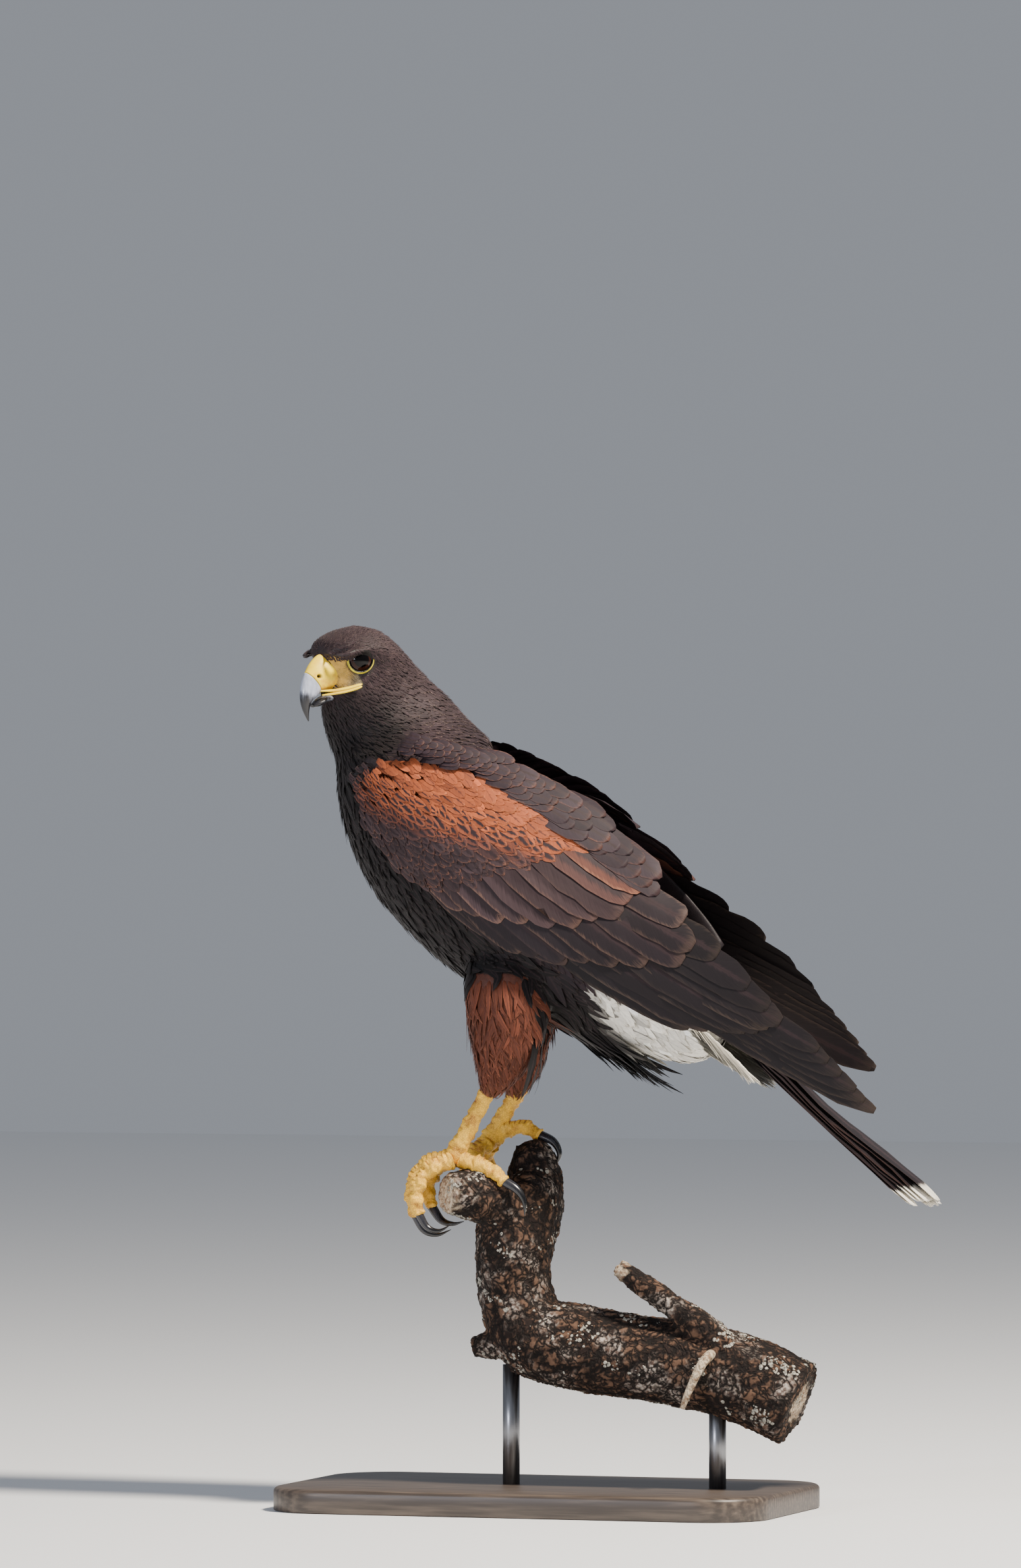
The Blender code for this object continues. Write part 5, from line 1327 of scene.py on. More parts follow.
def hidden_by_wings(spots):
    """Whether spots of the body lie well under a folded wing."""
    tau, rise = to_wing(spots)
    low, high, _ = arm_limits(tau)
    under = (np.abs(spots[:, 1]) > BETWEEN_WINGS) & (tau > COVERED_TAU[0]) & (tau < COVERED_TAU[1])
    return under & (rise > low + COVERED_LOW) & (rise < high - COVERED_HIGH)


# The coat's feathers by level of the body: length, and spacing and width as shares of it.
LENGTH_LEVELS = (0, 3, 5, 7, 9, 11, 14, 17, 20, 23)
LENGTHS = (4.6, 4.8, 5.2, 7.5, 11, 15, 21, 25, 24, 20)
SPACING_LEVELS = (0, 5, 7, 12, 17)
SPACINGS = (0.19, 0.19, 0.155, 0.128, 0.125)
WIDTH_LEVELS = (0, 5, 8, 12, 17)
WIDTHS = (0.25, 0.25, 0.22, 0.24, 0.24)
# The same on the head from back to face, as a factor, and on the thighs by height.
FACE_AT, FACE_LENGTH = (-10, 20, 44), (1.4, 1, 0.72)
THIGH_AT, THIGH_LENGTHS = (240, 256, 300), (9, 17, 24)
THIGH_SPACING, THIGH_WIDTH = 0.08, 0.12
# How far round the eye the face is bare, and how much nearer feathers grow above it.
EYE_BARE, BROW_NEARER = 8.6, 2.4
# Past this level no coat grows, nor where the skin is this far off the torso's own shape.
COAT_END, COAT_BURIED = 22.4, 3.0
# Levels where the head's coat ends and the neck's coat ends.
HEAD_END, NECK_END = 6.6, 11.5
# The coat's pieces: the shares of a feather's length with a station, and how much it bends.
COAT_PIECES = {
    "coat_of_head": ((0, 0.28, 0.62, 0.88, 1), 0.16),
    "coat_of_neck": ((0, 0.2, 0.45, 0.7, 0.9, 1), 0.16),
    "coat_of_breast": ((0, 0.2, 0.45, 0.7, 0.88, 1), 0.2),
    "coat_of_back": ((0, 0.2, 0.45, 0.7, 0.88, 1), 0.2),
    "coat_of_thighs": ((0, 0.25, 0.5, 0.75, 0.92, 1), 0.3),
}
SHAG_RISE = 15.0


def coat_length(level, thigh, spots):
    """The length of the coat's feathers in millimetres."""
    length = np.interp(level, LENGTH_LEVELS, LENGTHS)
    face = np.interp(to_head(spots)[:, 0], FACE_AT, FACE_LENGTH)
    length = np.where(level < 7, length * face, length)
    return np.where(thigh, np.interp(spots[:, 2], THIGH_AT, THIGH_LENGTHS), length)


def coat_spacing(body_map):
    """How far apart the coat's feathers stand, which is nought where none grow."""
    def spacing(spots):
        level, _, away = body_map.read(spots)
        thigh = thigh_of(spots)
        share = np.where(thigh, THIGH_SPACING, np.interp(level, SPACING_LEVELS, SPACINGS))
        apart = coat_length(level, thigh, spots) * share
        above = ramp(to_head(spots)[:, 2], 1.5, 5)
        bare = (level < 8) & (in_lores(spots) | (eye_distance(spots) < EYE_BARE - BROW_NEARER * above))
        end = (level > COAT_END) & ~thigh
        buried = (away > COAT_BURIED) & ~thigh & (level > 12)
        return np.where(bare | hidden_by_wings(spots) | end | buried, 0, apart)
    return spacing


def coat_bake(roots, level, angle, thigh):
    """Each root's place on the map of roots: the body unrolled, or a thigh unrolled."""
    body = np.stack([(angle / math.tau + 0.5) % 1, level / LAST_LEVEL], -1) * 0.98 + 0.005
    around = np.arctan2(roots[:, 1] - np.sign(roots[:, 1]) * 29, roots[:, 0] + 20) / math.tau + 0.5
    across = around * 0.48 + np.where(roots[:, 1] > 0, 0.5, 0) + 0.005
    up = (roots[:, 2] - THIGH_LOW) / 90 * 0.98 + 0.005
    return np.where(thigh[:, None], np.stack([across, up], -1), body)


def make_coat(ground, body_map):
    """The coat of head, neck, body and thighs, with shaggy plumes at the vent."""
    roots = ground.scatter(coat_spacing(body_map))
    level, angle, _ = body_map.read(roots)
    thigh = thigh_of(roots)
    white = white_share(roots, level)
    length = coat_length(level, thigh, roots) * np.exp(chance.normal(0, 0.14, len(roots)))
    width = length * np.where(thigh, THIGH_WIDTH, np.interp(level, WIDTH_LEVELS, WIDTHS))
    width = width * (1 + 0.3 * white)
    vane, edge = coat_colours(roots, level, angle, thigh.astype(float))
    cloud = 1 + 0.16 * lumpy(roots, 26, 21)[:, None]
    vane, edge = varied(vane * cloud, edge * cloud, 0.18, 2.4)
    under = ramp(np.cos(angle), -0.1, 0.5) * ramp(level, 7, 9)
    shag = ramp(roots[:, 0], -2, 8) * ramp(roots[:, 2], 292, 276) * (1 - ramp(roots[:, 0], 34, 46))
    shag = np.where(thigh, 0, shag * (1 - white))
    length = length * (1 + shag * chance.uniform(0.2, 1.1, len(roots)))
    loose = np.exp(chance.normal(0, 0.25, len(roots)))
    rise = 0.35 + length * np.where(thigh, 0.09, 0.075) * loose + shag * SHAG_RISE
    bake = coat_bake(roots, level, angle, thigh)
    streak = np.where(thigh, 0.12, np.where(under > 0.5, 0.2, 0.45)) * (1 - white)
    flow = body_flow(body_map)
    torso, front = ~thigh & (level >= NECK_END), np.cos(angle) > 0
    places = {
        "coat_of_head": ~thigh & (level < HEAD_END),
        "coat_of_neck": ~thigh & (level >= HEAD_END) & (level < NECK_END),
        "coat_of_breast": torso & front,
        "coat_of_back": torso & ~front,
        "coat_of_thighs": thigh,
    }
    for name, (shares, bend) in COAT_PIECES.items():
        chosen = places[name]
        marks = {"Tint": vane[chosen], "Fringe": edge[chosen], "Streak": streak[chosen]}
        batch = grown(ground, roots[chosen], length[chosen], width[chosen], flow, rise[chosen], shares,
                      POINTED_OUTLINE, marks, bake[chosen], bend)
        piece = vane_piece(name, [batch], body_vane)
        show(piece, "plumage_rufous" if name == "coat_of_thighs" else "plumage_dark")


def tint_skin(skin, body_map):
    """Colours the skin like the coat over it, and its bare parts like themselves."""
    spots = points_of(skin)
    level, angle, _ = body_map.read(spots)
    vane, _ = coat_colours(spots, level, angle, thigh_of(spots).astype(float))
    vane = vane * (0.7 + 0.25 * white_share(spots, level))[:, None]
    vane[:, 3] = 1.0
    up, forward = to_head(spots)[:, 2], to_head(spots)[:, 0]
    lores = mixed(LORE_YELLOW, LORE_GREY, ramp(-forward - up * 0.4, -32, -24))
    vane = mixed(vane, lores, in_lores(spots).astype(float) * (level < 8))
    rim = (1 - ramp(eye_distance(spots), 8.3, 9.6)) * (level < 8)
    vane = mixed(vane, LID_BLACK, rim)
    mark(skin.data, colours={"Tint": vane})


# Rings of the eyeball in degrees from the pupil, and how the cornea stands out over it.
EYE_FRONT_DEG, EYE_BACK_DEG = (1, 50, 26), (55, 172, 14)
EYE_SUNK, CORNEA_OUT, CORNEA_DEG = 0.15, 0.45, 40
# The lids: how far they open in degrees, wider below and in front and narrower above; how
# wide the rim is; and how high it stands over the eyeball.
LID_OPEN_DEG, LID_ABOVE, LID_BELOW, LID_FRONT = 47.5, 4, 2, 3.5
RIM_MIDDLE_DEG, RIM_HALF_DEG = 5.2, 6.4
RIM_LOW, RIM_HIGH, RIM_INNER_LOW = 0.25, 0.75, 0.6
LID_STEPS, RIM_STEPS = 72, 12


def make_eyeball(name, side):
    centre, gaze = np.array(eye_middle(side)), np.array(eye_gaze(side))
    flat = np.array(Vector(gaze).orthogonal().normalized())
    up = np.cross(gaze, flat)
    rings = []
    for p in np.radians(np.concatenate([np.linspace(*EYE_FRONT_DEG), np.linspace(*EYE_BACK_DEG)])):
        radius = EYE_RADIUS - EYE_SUNK + CORNEA_OUT * max(0, 1 - (math.degrees(p) / CORNEA_DEG) ** 2)
        rings.append([centre + radius * (
            gaze * math.cos(p) + math.sin(p) * (flat * math.cos(a) + up * math.sin(a)))
            for a in once_round(64)])
    points, faces = loft(rings)
    seen = np.degrees(np.arccos(np.clip(unit(points - centre) @ gaze, -1, 1)))
    eye = outwards(mesh_piece("eyeball_" + name, points, faces, eye_skin, numbers={"Gaze": seen}))
    show(eye, "eye_brown", "eye_" + name)


def make_eyelids(name, side):
    """The rim of both lids: a flat ring round the eyeball's opening."""
    centre, gaze = np.array(eye_middle(side)), np.array(eye_gaze(side))
    sky = np.array([0, 0, 1]) - gaze * gaze[2]
    sky /= np.linalg.norm(sky)
    ahead = np.cross(sky, gaze) * side
    points, inner = [], []
    for a in np.linspace(0, math.tau, LID_STEPS, endpoint=False):
        lift, fore = math.sin(a), math.cos(a)
        opened = (LID_OPEN_DEG - LID_ABOVE * max(lift, 0) ** 2 + LID_BELOW * max(-lift, 0)
                  + LID_FRONT * max(fore, 0) ** 6)
        out = sky * lift + ahead * fore
        for tilt in once_round(RIM_STEPS):
            spread = math.radians(opened + RIM_MIDDLE_DEG - RIM_HALF_DEG * math.cos(tilt))
            share = 1 if math.sin(tilt) > 0 else RIM_INNER_LOW
            radius = EYE_RADIUS + RIM_LOW + RIM_HIGH * math.sin(tilt) * share
            points.append(centre + radius * (gaze * math.cos(spread) + out * math.sin(spread)))
            inner.append(1.0 if math.cos(tilt) > 0.55 else 0)
    i, j = np.meshgrid(np.arange(LID_STEPS), np.arange(RIM_STEPS), indexing="ij")
    low, high = i * RIM_STEPS, (i + 1) % LID_STEPS * RIM_STEPS
    faces = np.stack([low + j, low + (j + 1) % RIM_STEPS, high + (j + 1) % RIM_STEPS, high + j], -1)
    lid = mesh_piece("eyelids_" + name, points, faces.reshape(-1, 4), lid_skin, numbers={"Inner": inner})
    show(outwards(lid), "cere_skin")


# How much narrower the bill is at its ridge than at its cutting edge.
BILL_KEEL = 0.3
# The nostril's pit and the swelling round it.
PIT_DEEP, PIT_FLAT = 2.4, 0.85
SWELL_OUT, SWELL_REACH = 0.35, (3.2, 2.6)
# How the corner of the mouth thins to its end.
GAPE_END = (0.95, 0.82, 0.62, 0.3)
BILL_POINTS, CERE_POINTS = 56, 96


def bill_rings(sections, steps, count):
    """Rings of the bill from its ridge to its cutting edge."""
    share = (1 + np.cos(once_round(count))) / 2
    rings = []
    for row in evenly([[*upper, *lower, half] for upper, lower, half in sections], steps):
        spot = row[2:4] + (row[0:2] - row[2:4]) * share[:, None]
        side = row[4] * np.sin(once_round(count)) * (1 - BILL_KEEL * share)
        rings.append([tuple(head_point(f, s, u)) for (f, u), s in zip(spot, side)])
    return rings


def cere_loft():
    """The cere with its nostrils, and how deep each point is in a nostril, which also sets the nostril's
    painted shade, and how stained.
    """
    points, faces = loft(bill_rings(CERE_SECTIONS, 60, CERE_POINTS))
    head = to_head(points)
    ahead, above = head[:, 0] - NOSTRIL[0], head[:, 2] - NOSTRIL[1]
    pit = np.exp(-((ahead / NOSTRIL_RADIUS) ** 2 + (above / (NOSTRIL_RADIUS * PIT_FLAT)) ** 2) ** 1.5)
    swell = np.exp(-((ahead / SWELL_REACH[0]) ** 2 + (above / SWELL_REACH[1]) ** 2))
    inward = np.sign(head[:, 1])[:, None] * HEAD_AXES[1]
    points = points - inward * (pit * PIT_DEEP - (swell - pit) * SWELL_OUT)[:, None]
    stain = ramp(head[:, 2], -2, -14) * ramp(head[:, 0], 50, 42)
    return (points, faces), np.clip(pit * 1.6, 0, 1), stain


def gape_loft(line, side):
    """One edge of the mouth's corner."""
    rows = evenly([(f, side * s, u) for f, s, u in line], 40)
    radii = evenly([[r] for r in GAPE_RADII], 40)[:, 0]
    radii[-len(GAPE_END):] *= GAPE_END
    return loft(tube([head_point(*row) for row in rows], radii, 20, squash=0.8))


def make_bill():
    """The cere with the mouth's corners, and the two halves of the bill."""
    first, pit, stain = cere_loft()
    gapes = [gape_loft(line, side) for side in SIDES for line in (GAPE_UPPER, GAPE_LOWER)]
    sizes = [len(points) for points, _ in gapes]
    marks = {"PitShade": np.concatenate([pit, np.zeros(sum(sizes))]),
             "Stain": np.concatenate([stain, np.full(sum(sizes), 0.2)])}
    show(lofted("cere_and_gape", [first, *gapes], cere_skin, numbers=marks), "cere_skin", "cere")
    for name, sections, steps, replaced in (("bill_ridge", UPPER_BILL_SECTIONS, 70, "bill_upper"),
                                            ("bill_floor", LOWER_BILL_SECTIONS, 30, "bill_lower")):
        points, faces = loft(bill_rings(sections, steps, BILL_POINTS))
        share = np.repeat(np.concatenate([[0, 0], np.linspace(0, 1, steps), [1, 1]]), BILL_POINTS)
        head = to_head(points)
        under = ramp(head[:, 0] * 0.2 - head[:, 2], 24, 33)
        # The lower bill is dark nearly all over: its grey horn darkened as painted shade under the upper
        # bill.
        growth = share * 0.75 + under * 0.45 if replaced == "bill_upper" else share * 0.3 + 0.62
        bill = mesh_piece(name, points, faces, bill_horn, numbers={"Growth": growth})
        show(outwards(bill), "bill_horn", replaced)


def grown_by_nodes(name, base, material, sizes, plant):
    """Runs a node tree over a base mesh and keeps the plain mesh that it makes.

    sizes are the tree's named inputs and their values; plant adds the nodes between the
    tree's inputs and its last realised instances."""
    tree = bpy.data.node_groups.new(name, "GeometryNodeTree")
    for way in ("INPUT", "OUTPUT"):
        tree.interface.new_socket("Geometry", in_out=way, socket_type="NodeSocketGeometry")
    kinds = {float: "NodeSocketFloat", int: "NodeSocketInt"}
    sockets = {}
    for label, value in sizes.items():
        socket = tree.interface.new_socket(label, in_out="INPUT", socket_type=kinds[type(value)])
        sockets[label] = socket.identifier
    add = partial(node, tree)
    instances = plant(add, add("NodeGroupInput").outputs)
    solid = add("GeometryNodeRealizeInstances", {"Geometry": instances})
    dressed = add("GeometryNodeSetMaterial", {"Geometry": solid, "Material": material})
    add("NodeGroupOutput", {"Geometry": dressed})
    growth = base.modifiers.new(name, "NODES")
    growth.node_group = tree
    for label, value in sizes.items():
        growth[sockets[label]] = value
    baked(base)
    base.name = name
    return smoothly_shaded(base)


def bristle_nodes(add, given):
    """Bent hairs on a skin, lying along its attribute Lie."""
    spots = add("GeometryNodeDistributePointsOnFaces", {
        "Mesh": given["Geometry"], "Distance Min": given["Apart"], "Density Max": given["Density"],
        "Seed": given["Seed"]}, distribute_method="POISSON").outputs["Points"]
    lie = add("GeometryNodeInputNamedAttribute", {"Name": "Lie"}, data_type="FLOAT_VECTOR")
    turned = add("FunctionNodeAlignRotationToVector", {"Vector": lie}, axis="Z")
    line = add("GeometryNodeCurveQuadraticBezier", {
        "Resolution": 5, "Start": (0, 0, 0), "Middle": (0, 0, 0.6), "End": (0.22, 0.1, 1)})
    down = add("GeometryNodeSplineParameter").outputs["Factor"]
    taper = add(TIMES_PLUS, (down, -0.85, 1))
    radius = add(TIMES, (taper, given["Thickness"]))
    ring = add("GeometryNodeCurvePrimitiveCircle", {"Resolution": 5, "Radius": 1})
    hair = add("GeometryNodeCurveToMesh", {
        "Curve": line, "Profile Curve": ring, "Scale": radius, "Fill Caps": True})
    size = add("FunctionNodeRandomValue", {2: 0.5, 3: 1.2, "Seed": given["Seed"]}, data_type="FLOAT")
    long = add(TIMES, (size, given["Length"]))
    return add("GeometryNodeInstanceOnPoints", {
        "Points": spots, "Instance": hair, "Rotation": turned, "Scale": long})


def lichen_nodes(add, given):
    """Low crusty cushions scattered where the attribute Crust allows."""
    crust = add("GeometryNodeInputNamedAttribute", {"Name": "Crust"}, data_type="FLOAT")
    scattered = add("GeometryNodeDistributePointsOnFaces", {
        "Mesh": given["Geometry"], "Distance Min": given["Apart"], "Density Max": given["Density"],
        "Density Factor": crust, "Seed": given["Seed"]}, distribute_method="POISSON").outputs
    cushion = add("GeometryNodeMeshIcoSphere", {"Radius": given["Size"], "Subdivisions": 2})
    size = add("FunctionNodeRandomValue", {2: 0.3, 3: 1.3, "Seed": given["Seed"]}, data_type="FLOAT")
    flat = add("ShaderNodeCombineXYZ", {0: size, 1: size, 2: given["Flatness"]})
    placed = add("GeometryNodeInstanceOnPoints", {
        "Points": scattered["Points"], "Instance": cushion, "Rotation": scattered["Rotation"],
        "Scale": flat})
    solid = add("GeometryNodeRealizeInstances", {"Geometry": placed})
    crumbs = add(NOISE, {"Scale": 600, "Detail": 2}).outputs["Color"]
    ragged = add("ShaderNodeVectorMath", {0: crumbs, 1: (0.5, 0.5, 0.5)}, operation="SUBTRACT")
    offset = add("ShaderNodeVectorMath", {0: ragged, "Scale": given["Size"]}, operation="SCALE")
    return add("GeometryNodeSetPosition", {"Geometry": solid, "Offset": offset})


def patch_of(thing, name, chosen, material):
    """The faces of a mesh whose four points are all chosen, as a mesh of their own."""
    mesh = thing.data
    corners = np.array([p.vertices[:] for p in mesh.polygons if len(p.vertices) == 4])
    faces = corners[chosen[corners].all(1)]
    used, places = np.unique(faces, return_inverse=True)
    return mesh_piece(name, points_of(thing)[used], places.reshape(faces.shape), material), used


def make_bristles(skin):
    """Bristles on the bare skin before and under the eye, swept back from the bill."""
    spots, normals = points_of(skin), points_of(skin, normals=True)
    head = to_head(spots)
    near = eye_distance(spots)
    front = (head[:, 0] > 21) & (near > 7.3) & (near < 10.5) & (head[:, 2] < 5)
    chosen = (in_lores(spots) | front) & (np.abs(head[:, 1]) > FACE_OUT) & (head[:, 2] < 4.5)
    base, used = patch_of(skin, "lore_patch", chosen, feather_skin)
    back = -HEAD_AXES[0] + HEAD_AXES[2] * np.clip(head[used, 2:3] + 6, -6, 6) * 0.1
    lie = unit(normals[used] * 0.45 + back + chance.normal(0, 0.18, (len(used), 3)))
    base.data.attributes.new("Lie", "FLOAT_VECTOR", "POINT").data.foreach_set("vector", lie.ravel())
    sizes = {"Apart": 0.55 * MM, "Density": 3.0e6, "Length": 2.8 * MM, "Thickness": 0.022, "Seed": SEED}
    show(grown_by_nodes("lore_bristles", base, bristle_keratin, sizes, bristle_nodes), "plumage_dark")


def make_lichen(perch):
    """Lichen cushions in patches on the branch, but not on its lowest end."""
    spots = points_of(perch)
    base, used = patch_of(perch, "lichen_ground", np.ones(len(spots), bool), bark)
    crust = ramp(lumpy(spots[used], 24, 12) + 0.5 * lumpy(spots[used], 7, 13), 0.7, 1.4)
    mark(base.data, {"Crust": crust * (spots[used][:, 2] > 52)})
    sizes = {"Apart": 1.0 * MM, "Density": 2.6e5, "Size": 1.0 * MM, "Flatness": 0.2, "Seed": SEED}
    show(grown_by_nodes("lichen_crust", base, lichen, sizes, lichen_nodes), "bark")


# How far the chestnut patch blends out past its foot and its top, and where it starts and
# ends along tau.
FOOT_BLEND, TOP_BLEND = (-11, 8), (-1, 3)
PATCH_START, PATCH_END = (14, 22), (160, 190)
# The field of tau and rise that a wing's feathers are laid on.
WING_FIELD = ((0, -75), (400, 95))
# Stations of the flight feathers and larger coverts, of the small coverts, of the scapulars.
FLIGHT_AT = (0, 0.12, 0.25, 0.4, 0.55, 0.68, 0.8, 0.88, 0.94, 0.98, 1)
LESSER_AT = (0, 0.2, 0.4, 0.6, 0.8, 0.92, 1)
SCAPULAR_AT = (0, 0.2, 0.4, 0.6, 0.75, 0.87, 0.95, 1)
# Lesser coverts: their rows along tau and in rise; by rise, the tau where they end and how
# steeply they run; by tau, their length; and the tau up to which they need the arm under them.
LESSER_ROWS, LESSER_APART = (118, 8, -2.8), 3.2
LESSER_RISE, LESSER_END, LESSER_SLOPE = (-34, 0, 34), (76, 100, 122), (-0.08, 0.02, 0.12)
LESSER_TAU, LESSER_LENGTH = (8, 30, 60, 110), (8, 12, 17, 22)
BARE_BEND = 38
# Bow of the larger feathers, and the size of a feather on the map of roots by kind.
TIER_BOW, TIER_PATCH, LESSER_PATCH, SCAPULAR_PATCH = -1.5, 0.012, 0.003, 0.005


def rufous_share(tau, rise):
    """How far a spot of the wing belongs to the chestnut shoulder patch."""
    top = np.interp(tau, PATCH_TAU, PATCH_TOP)
    foot = np.interp(tau, PATCH_TAU, PATCH_FOOT)
    ends = ramp(tau, *PATCH_START) * (1 - ramp(tau, *PATCH_END))
    above_foot = ramp(rise, foot + FOOT_BLEND[0], foot + FOOT_BLEND[1])
    return above_foot * (1 - ramp(rise, top + TOP_BLEND[0], top + TOP_BLEND[1])) * ends


def wing_marks(kind, tau, rise):
    """Vane, edge and streak of one wing feather by its tier and place."""
    share = float(np.clip(rufous_share(tau, rise) * chance.uniform(0.8, 1.15), 0, 1))
    top = float(np.interp(tau, PATCH_TAU, PATCH_TOP))
    foot = float(np.interp(tau, PATCH_TAU, PATCH_FOOT))
    inner = float(ramp((rise - foot) / max(top - foot, 1), 0, 0.6))
    # Flight feathers and greater coverts take colours darkened as painted shade.
    if kind in ("primaries", "secondaries"):
        vane, edge, streak = FLIGHT_SHADED_VANE, FLIGHT_EDGE, 0.2
    elif kind == "scapulars":
        vane, edge, streak = MANTLE_VANE, SCAPULAR_EDGE, 0.3
    elif kind == "lesser":
        vane = mixed(WING_VANE, RUFOUS_VANE, share)
        edge = mixed(LESSER_EDGE, RUFOUS_EDGE, share)
        streak = (0.8 - 0.75 * inner) * share + 0.5 * (1 - share)
    elif kind == "median_coverts":
        vane = mixed(WING_VANE, RUFOUS_VANE, share * 0.3)
        edge = mixed(MEDIAN_EDGE, RUFOUS_EDGE, 0.1 + share * 0.35)
        streak = 0.75
    else:
        vane, edge, streak = GREATER_SHADED_VANE, GREATER_EDGE, 0.25
    vane, edge = varied([vane], [edge], 0.17, 1)
    return {"Tint": vane[0], "Fringe": edge[0], "Streak": streak}


class Wing:
    """One folded wing: its arm, and its feathers laid tier by tier."""

    def __init__(self, name, side, far):
        self.name, self.side, self.far = name, side, far
        self.bed = Bed(*WING_FIELD)
        grid = np.meshgrid(*(np.arange(a, b + 1) for a, b in zip(*WING_FIELD)), indexing="ij")
        self.bed.top = np.maximum(self.bed.top, arm_height(*grid) - ARM_UNDER)

    def place(self, tau, rise, height):
        return flank_at(tau, rise, height, self.side)

    def make_arm(self):
        """The arm under the coverts, tinted like them."""
        angle = once_round(40)
        rings = []
        for tau, low, high, deep in evenly(WING_ARM, 50):
            rise = (low + high) / 2 + (high - low) / 2 * np.cos(angle)
            out = np.sin(angle)
            height = np.where(out > 0, out * max(deep - ARM_UNDER, 0.3), out * (ARM_INWARD - 1))
            rings.append(self.place(np.full(40, tau), rise, height))
        arm = lofted("arm_" + self.name, [loft(rings)], feather_skin)
        spots = points_of(arm)
        tau, rise = to_wing(spots)
        outer = ramp(np.abs(spots[:, 1]) - np.abs(self.place(tau, rise, 0)[:, 1]), -0.5, 1)
        # The arm's dark tint carries the greater coverts' painted shade.
        tints = mixed(GREATER_SHADED_VANE, RUFOUS_VANE, rufous_share(tau, rise) * outer)
        mark(arm.data, colours={"Tint": tints})
        show(arm, "plumage_dark", "wing_" + self.name)

    def feather(self, kind, root, tip, width, outline, bend, patch):
        """One feather's own row for the bed, marked by a place two thirds along it."""
        at = (root[0] * 0.35 + tip[0] * 0.65, root[1] * 0.35 + tip[1] * 0.65)
        sunk = max(float(arm_height(np.array(root[0]), np.array(root[1]))) - ARM_UNDER, 0.3) - 0.6
        bake = tuple((spot - a) / (b - a) * 0.97 for spot, a, b in zip(root, *WING_FIELD))
        return {"root": root, "tip": tip, "width": width, "outline": outline, "bend": bend, "sunk": sunk,
                "bake": bake, "patch": patch, "marks": wing_marks(kind, *at)}

    def tier(self, kind, count, roots, tips, widths, blunt):
        """A tier of large feathers between the lines of its roots and tips."""
        outline = np.array(FLIGHT_OUTLINE) * (1, 1, 1, 1, 1, 1, blunt / 0.6, blunt / 0.6)
        made = []
        for i in range(count):
            share = i / (count - 1)
            root, tip = along(roots, share), along(tips, share) + chance.normal(0, (1, 0.3))
            if self.far and kind == "primaries":
                tip[0] -= FAR_WING_SHORTER
            for end in (root, tip) if self.far else ():
                end[1] += np.interp(end[0], FAR_WING_TAU, FAR_WING_RAISE)
            width = widths[0] + (widths[1] - widths[0]) * share
            made.append(self.feather(kind, root, tip, width, outline, TIER_BOW, TIER_PATCH))
            if kind == "primary_coverts" and i == WORN_COVERT and not self.far:
                made[-1]["marks"]["Fringe"] = WORN_EDGE
        return made

    def lesser_coverts(self):
        """Small coverts in close rows over the arm, from the hindmost row to the bend."""
        made = []
        for row in np.arange(*LESSER_ROWS):
            low, high, _ = arm_limits(row)
            low, high = low - 1, high + 2.0
            for r in np.arange(low, high, LESSER_APART):
                r = r + LESSER_APART / 2 * (round(row / -LESSER_ROWS[2]) % 2) + chance.normal(0, 0.9)
                root = np.array((row + chance.normal(0, 0.8), r))
                bare = root[0] < BARE_BEND and arm_height(*root) < 1.0
                if root[0] > np.interp(r, LESSER_RISE, LESSER_END) or r > high or bare:
                    continue
                length = np.interp(root[0], LESSER_TAU, LESSER_LENGTH) * math.exp(chance.normal(0, 0.12))
                slope = np.interp(r, LESSER_RISE, LESSER_SLOPE) + chance.normal(0, 0.07)
                tip = root + length * np.array((math.cos(slope), math.sin(slope)))
                made.append(self.feather("lesser", root, tip, length * 0.34, BODY_OUTLINE,
                                         chance.normal(0, 0.8), LESSER_PATCH))
        return made

    def scapulars(self):
        """Blunt feathers over the wing's upper edge, from the longest to the shoulder."""
        made = []
        t = SCAPULAR_TAU[-1]
        while t > SCAPULAR_TAU[0]:
            length = np.interp(t, SCAPULAR_TAU, SCAPULAR_LENGTH)
            slope = np.interp(t, SCAPULAR_TAU, SCAPULAR_SLOPE)
            width = length**0.72 * 0.88
            low, high = np.interp(t, PATCH_TAU, PATCH_TOP) - 2, arm_limits(t)[1] + 9.0
            for r in np.arange(low, high, width * 0.45):
                tip = np.array((t, r)) + chance.normal(0, (length * 0.05, 0.8))
                lean = slope + chance.normal(0, 0.05)
                back = length * math.exp(chance.normal(0, 0.06))
                root = tip - back * np.array((math.cos(lean), math.sin(lean)))
                made.append(self.feather("scapulars", root, tip, width, BLUNT_OUTLINE,
                                         chance.normal(0, 0.6), SCAPULAR_PATCH))
            t -= length * 0.2
        return made

    def make(self):
        self.make_arm()
        batches = [laid_vanes(self.bed, self.place, self.tier(kind, *row), FLIGHT_AT, 0.35, 0.42, 0.1)
                   for kind, row in WING_TIERS.items()]
        batches.append(laid_vanes(self.bed, self.place, self.lesser_coverts(), LESSER_AT, 0.08, 0.07, 0.1))
        batches.append(laid_vanes(self.bed, self.place, self.scapulars(), SCAPULAR_AT, 0.1, 0.12, 0.1))
        piece = vane_piece("feathers_of_wing_" + self.name, batches, wing_vane, 6)
        show(piece, "plumage_dark", "wing_" + self.name)


# The field that the tail is laid on and its first height, and the stations of a tail feather
# and of a plume.
TAIL_FIELD, TAIL_FLOOR = ((-30, -45), (190, 45)), -4.0
RECTRIX_AT = (0, 0.15, 0.3, 0.45, 0.6, 0.72, 0.82, 0.9, 0.95, 0.98, 1)
RECTRIX_OUTLINE = np.array(FLIGHT_OUTLINE) * (1, 1, 1, 1, 1, 1, 1.15, 1.4)
PLUME_AT = (0, 0.25, 0.5, 0.7, 0.85, 1)
PLUMES_UNDER, PLUMES_OVER = 900, 320


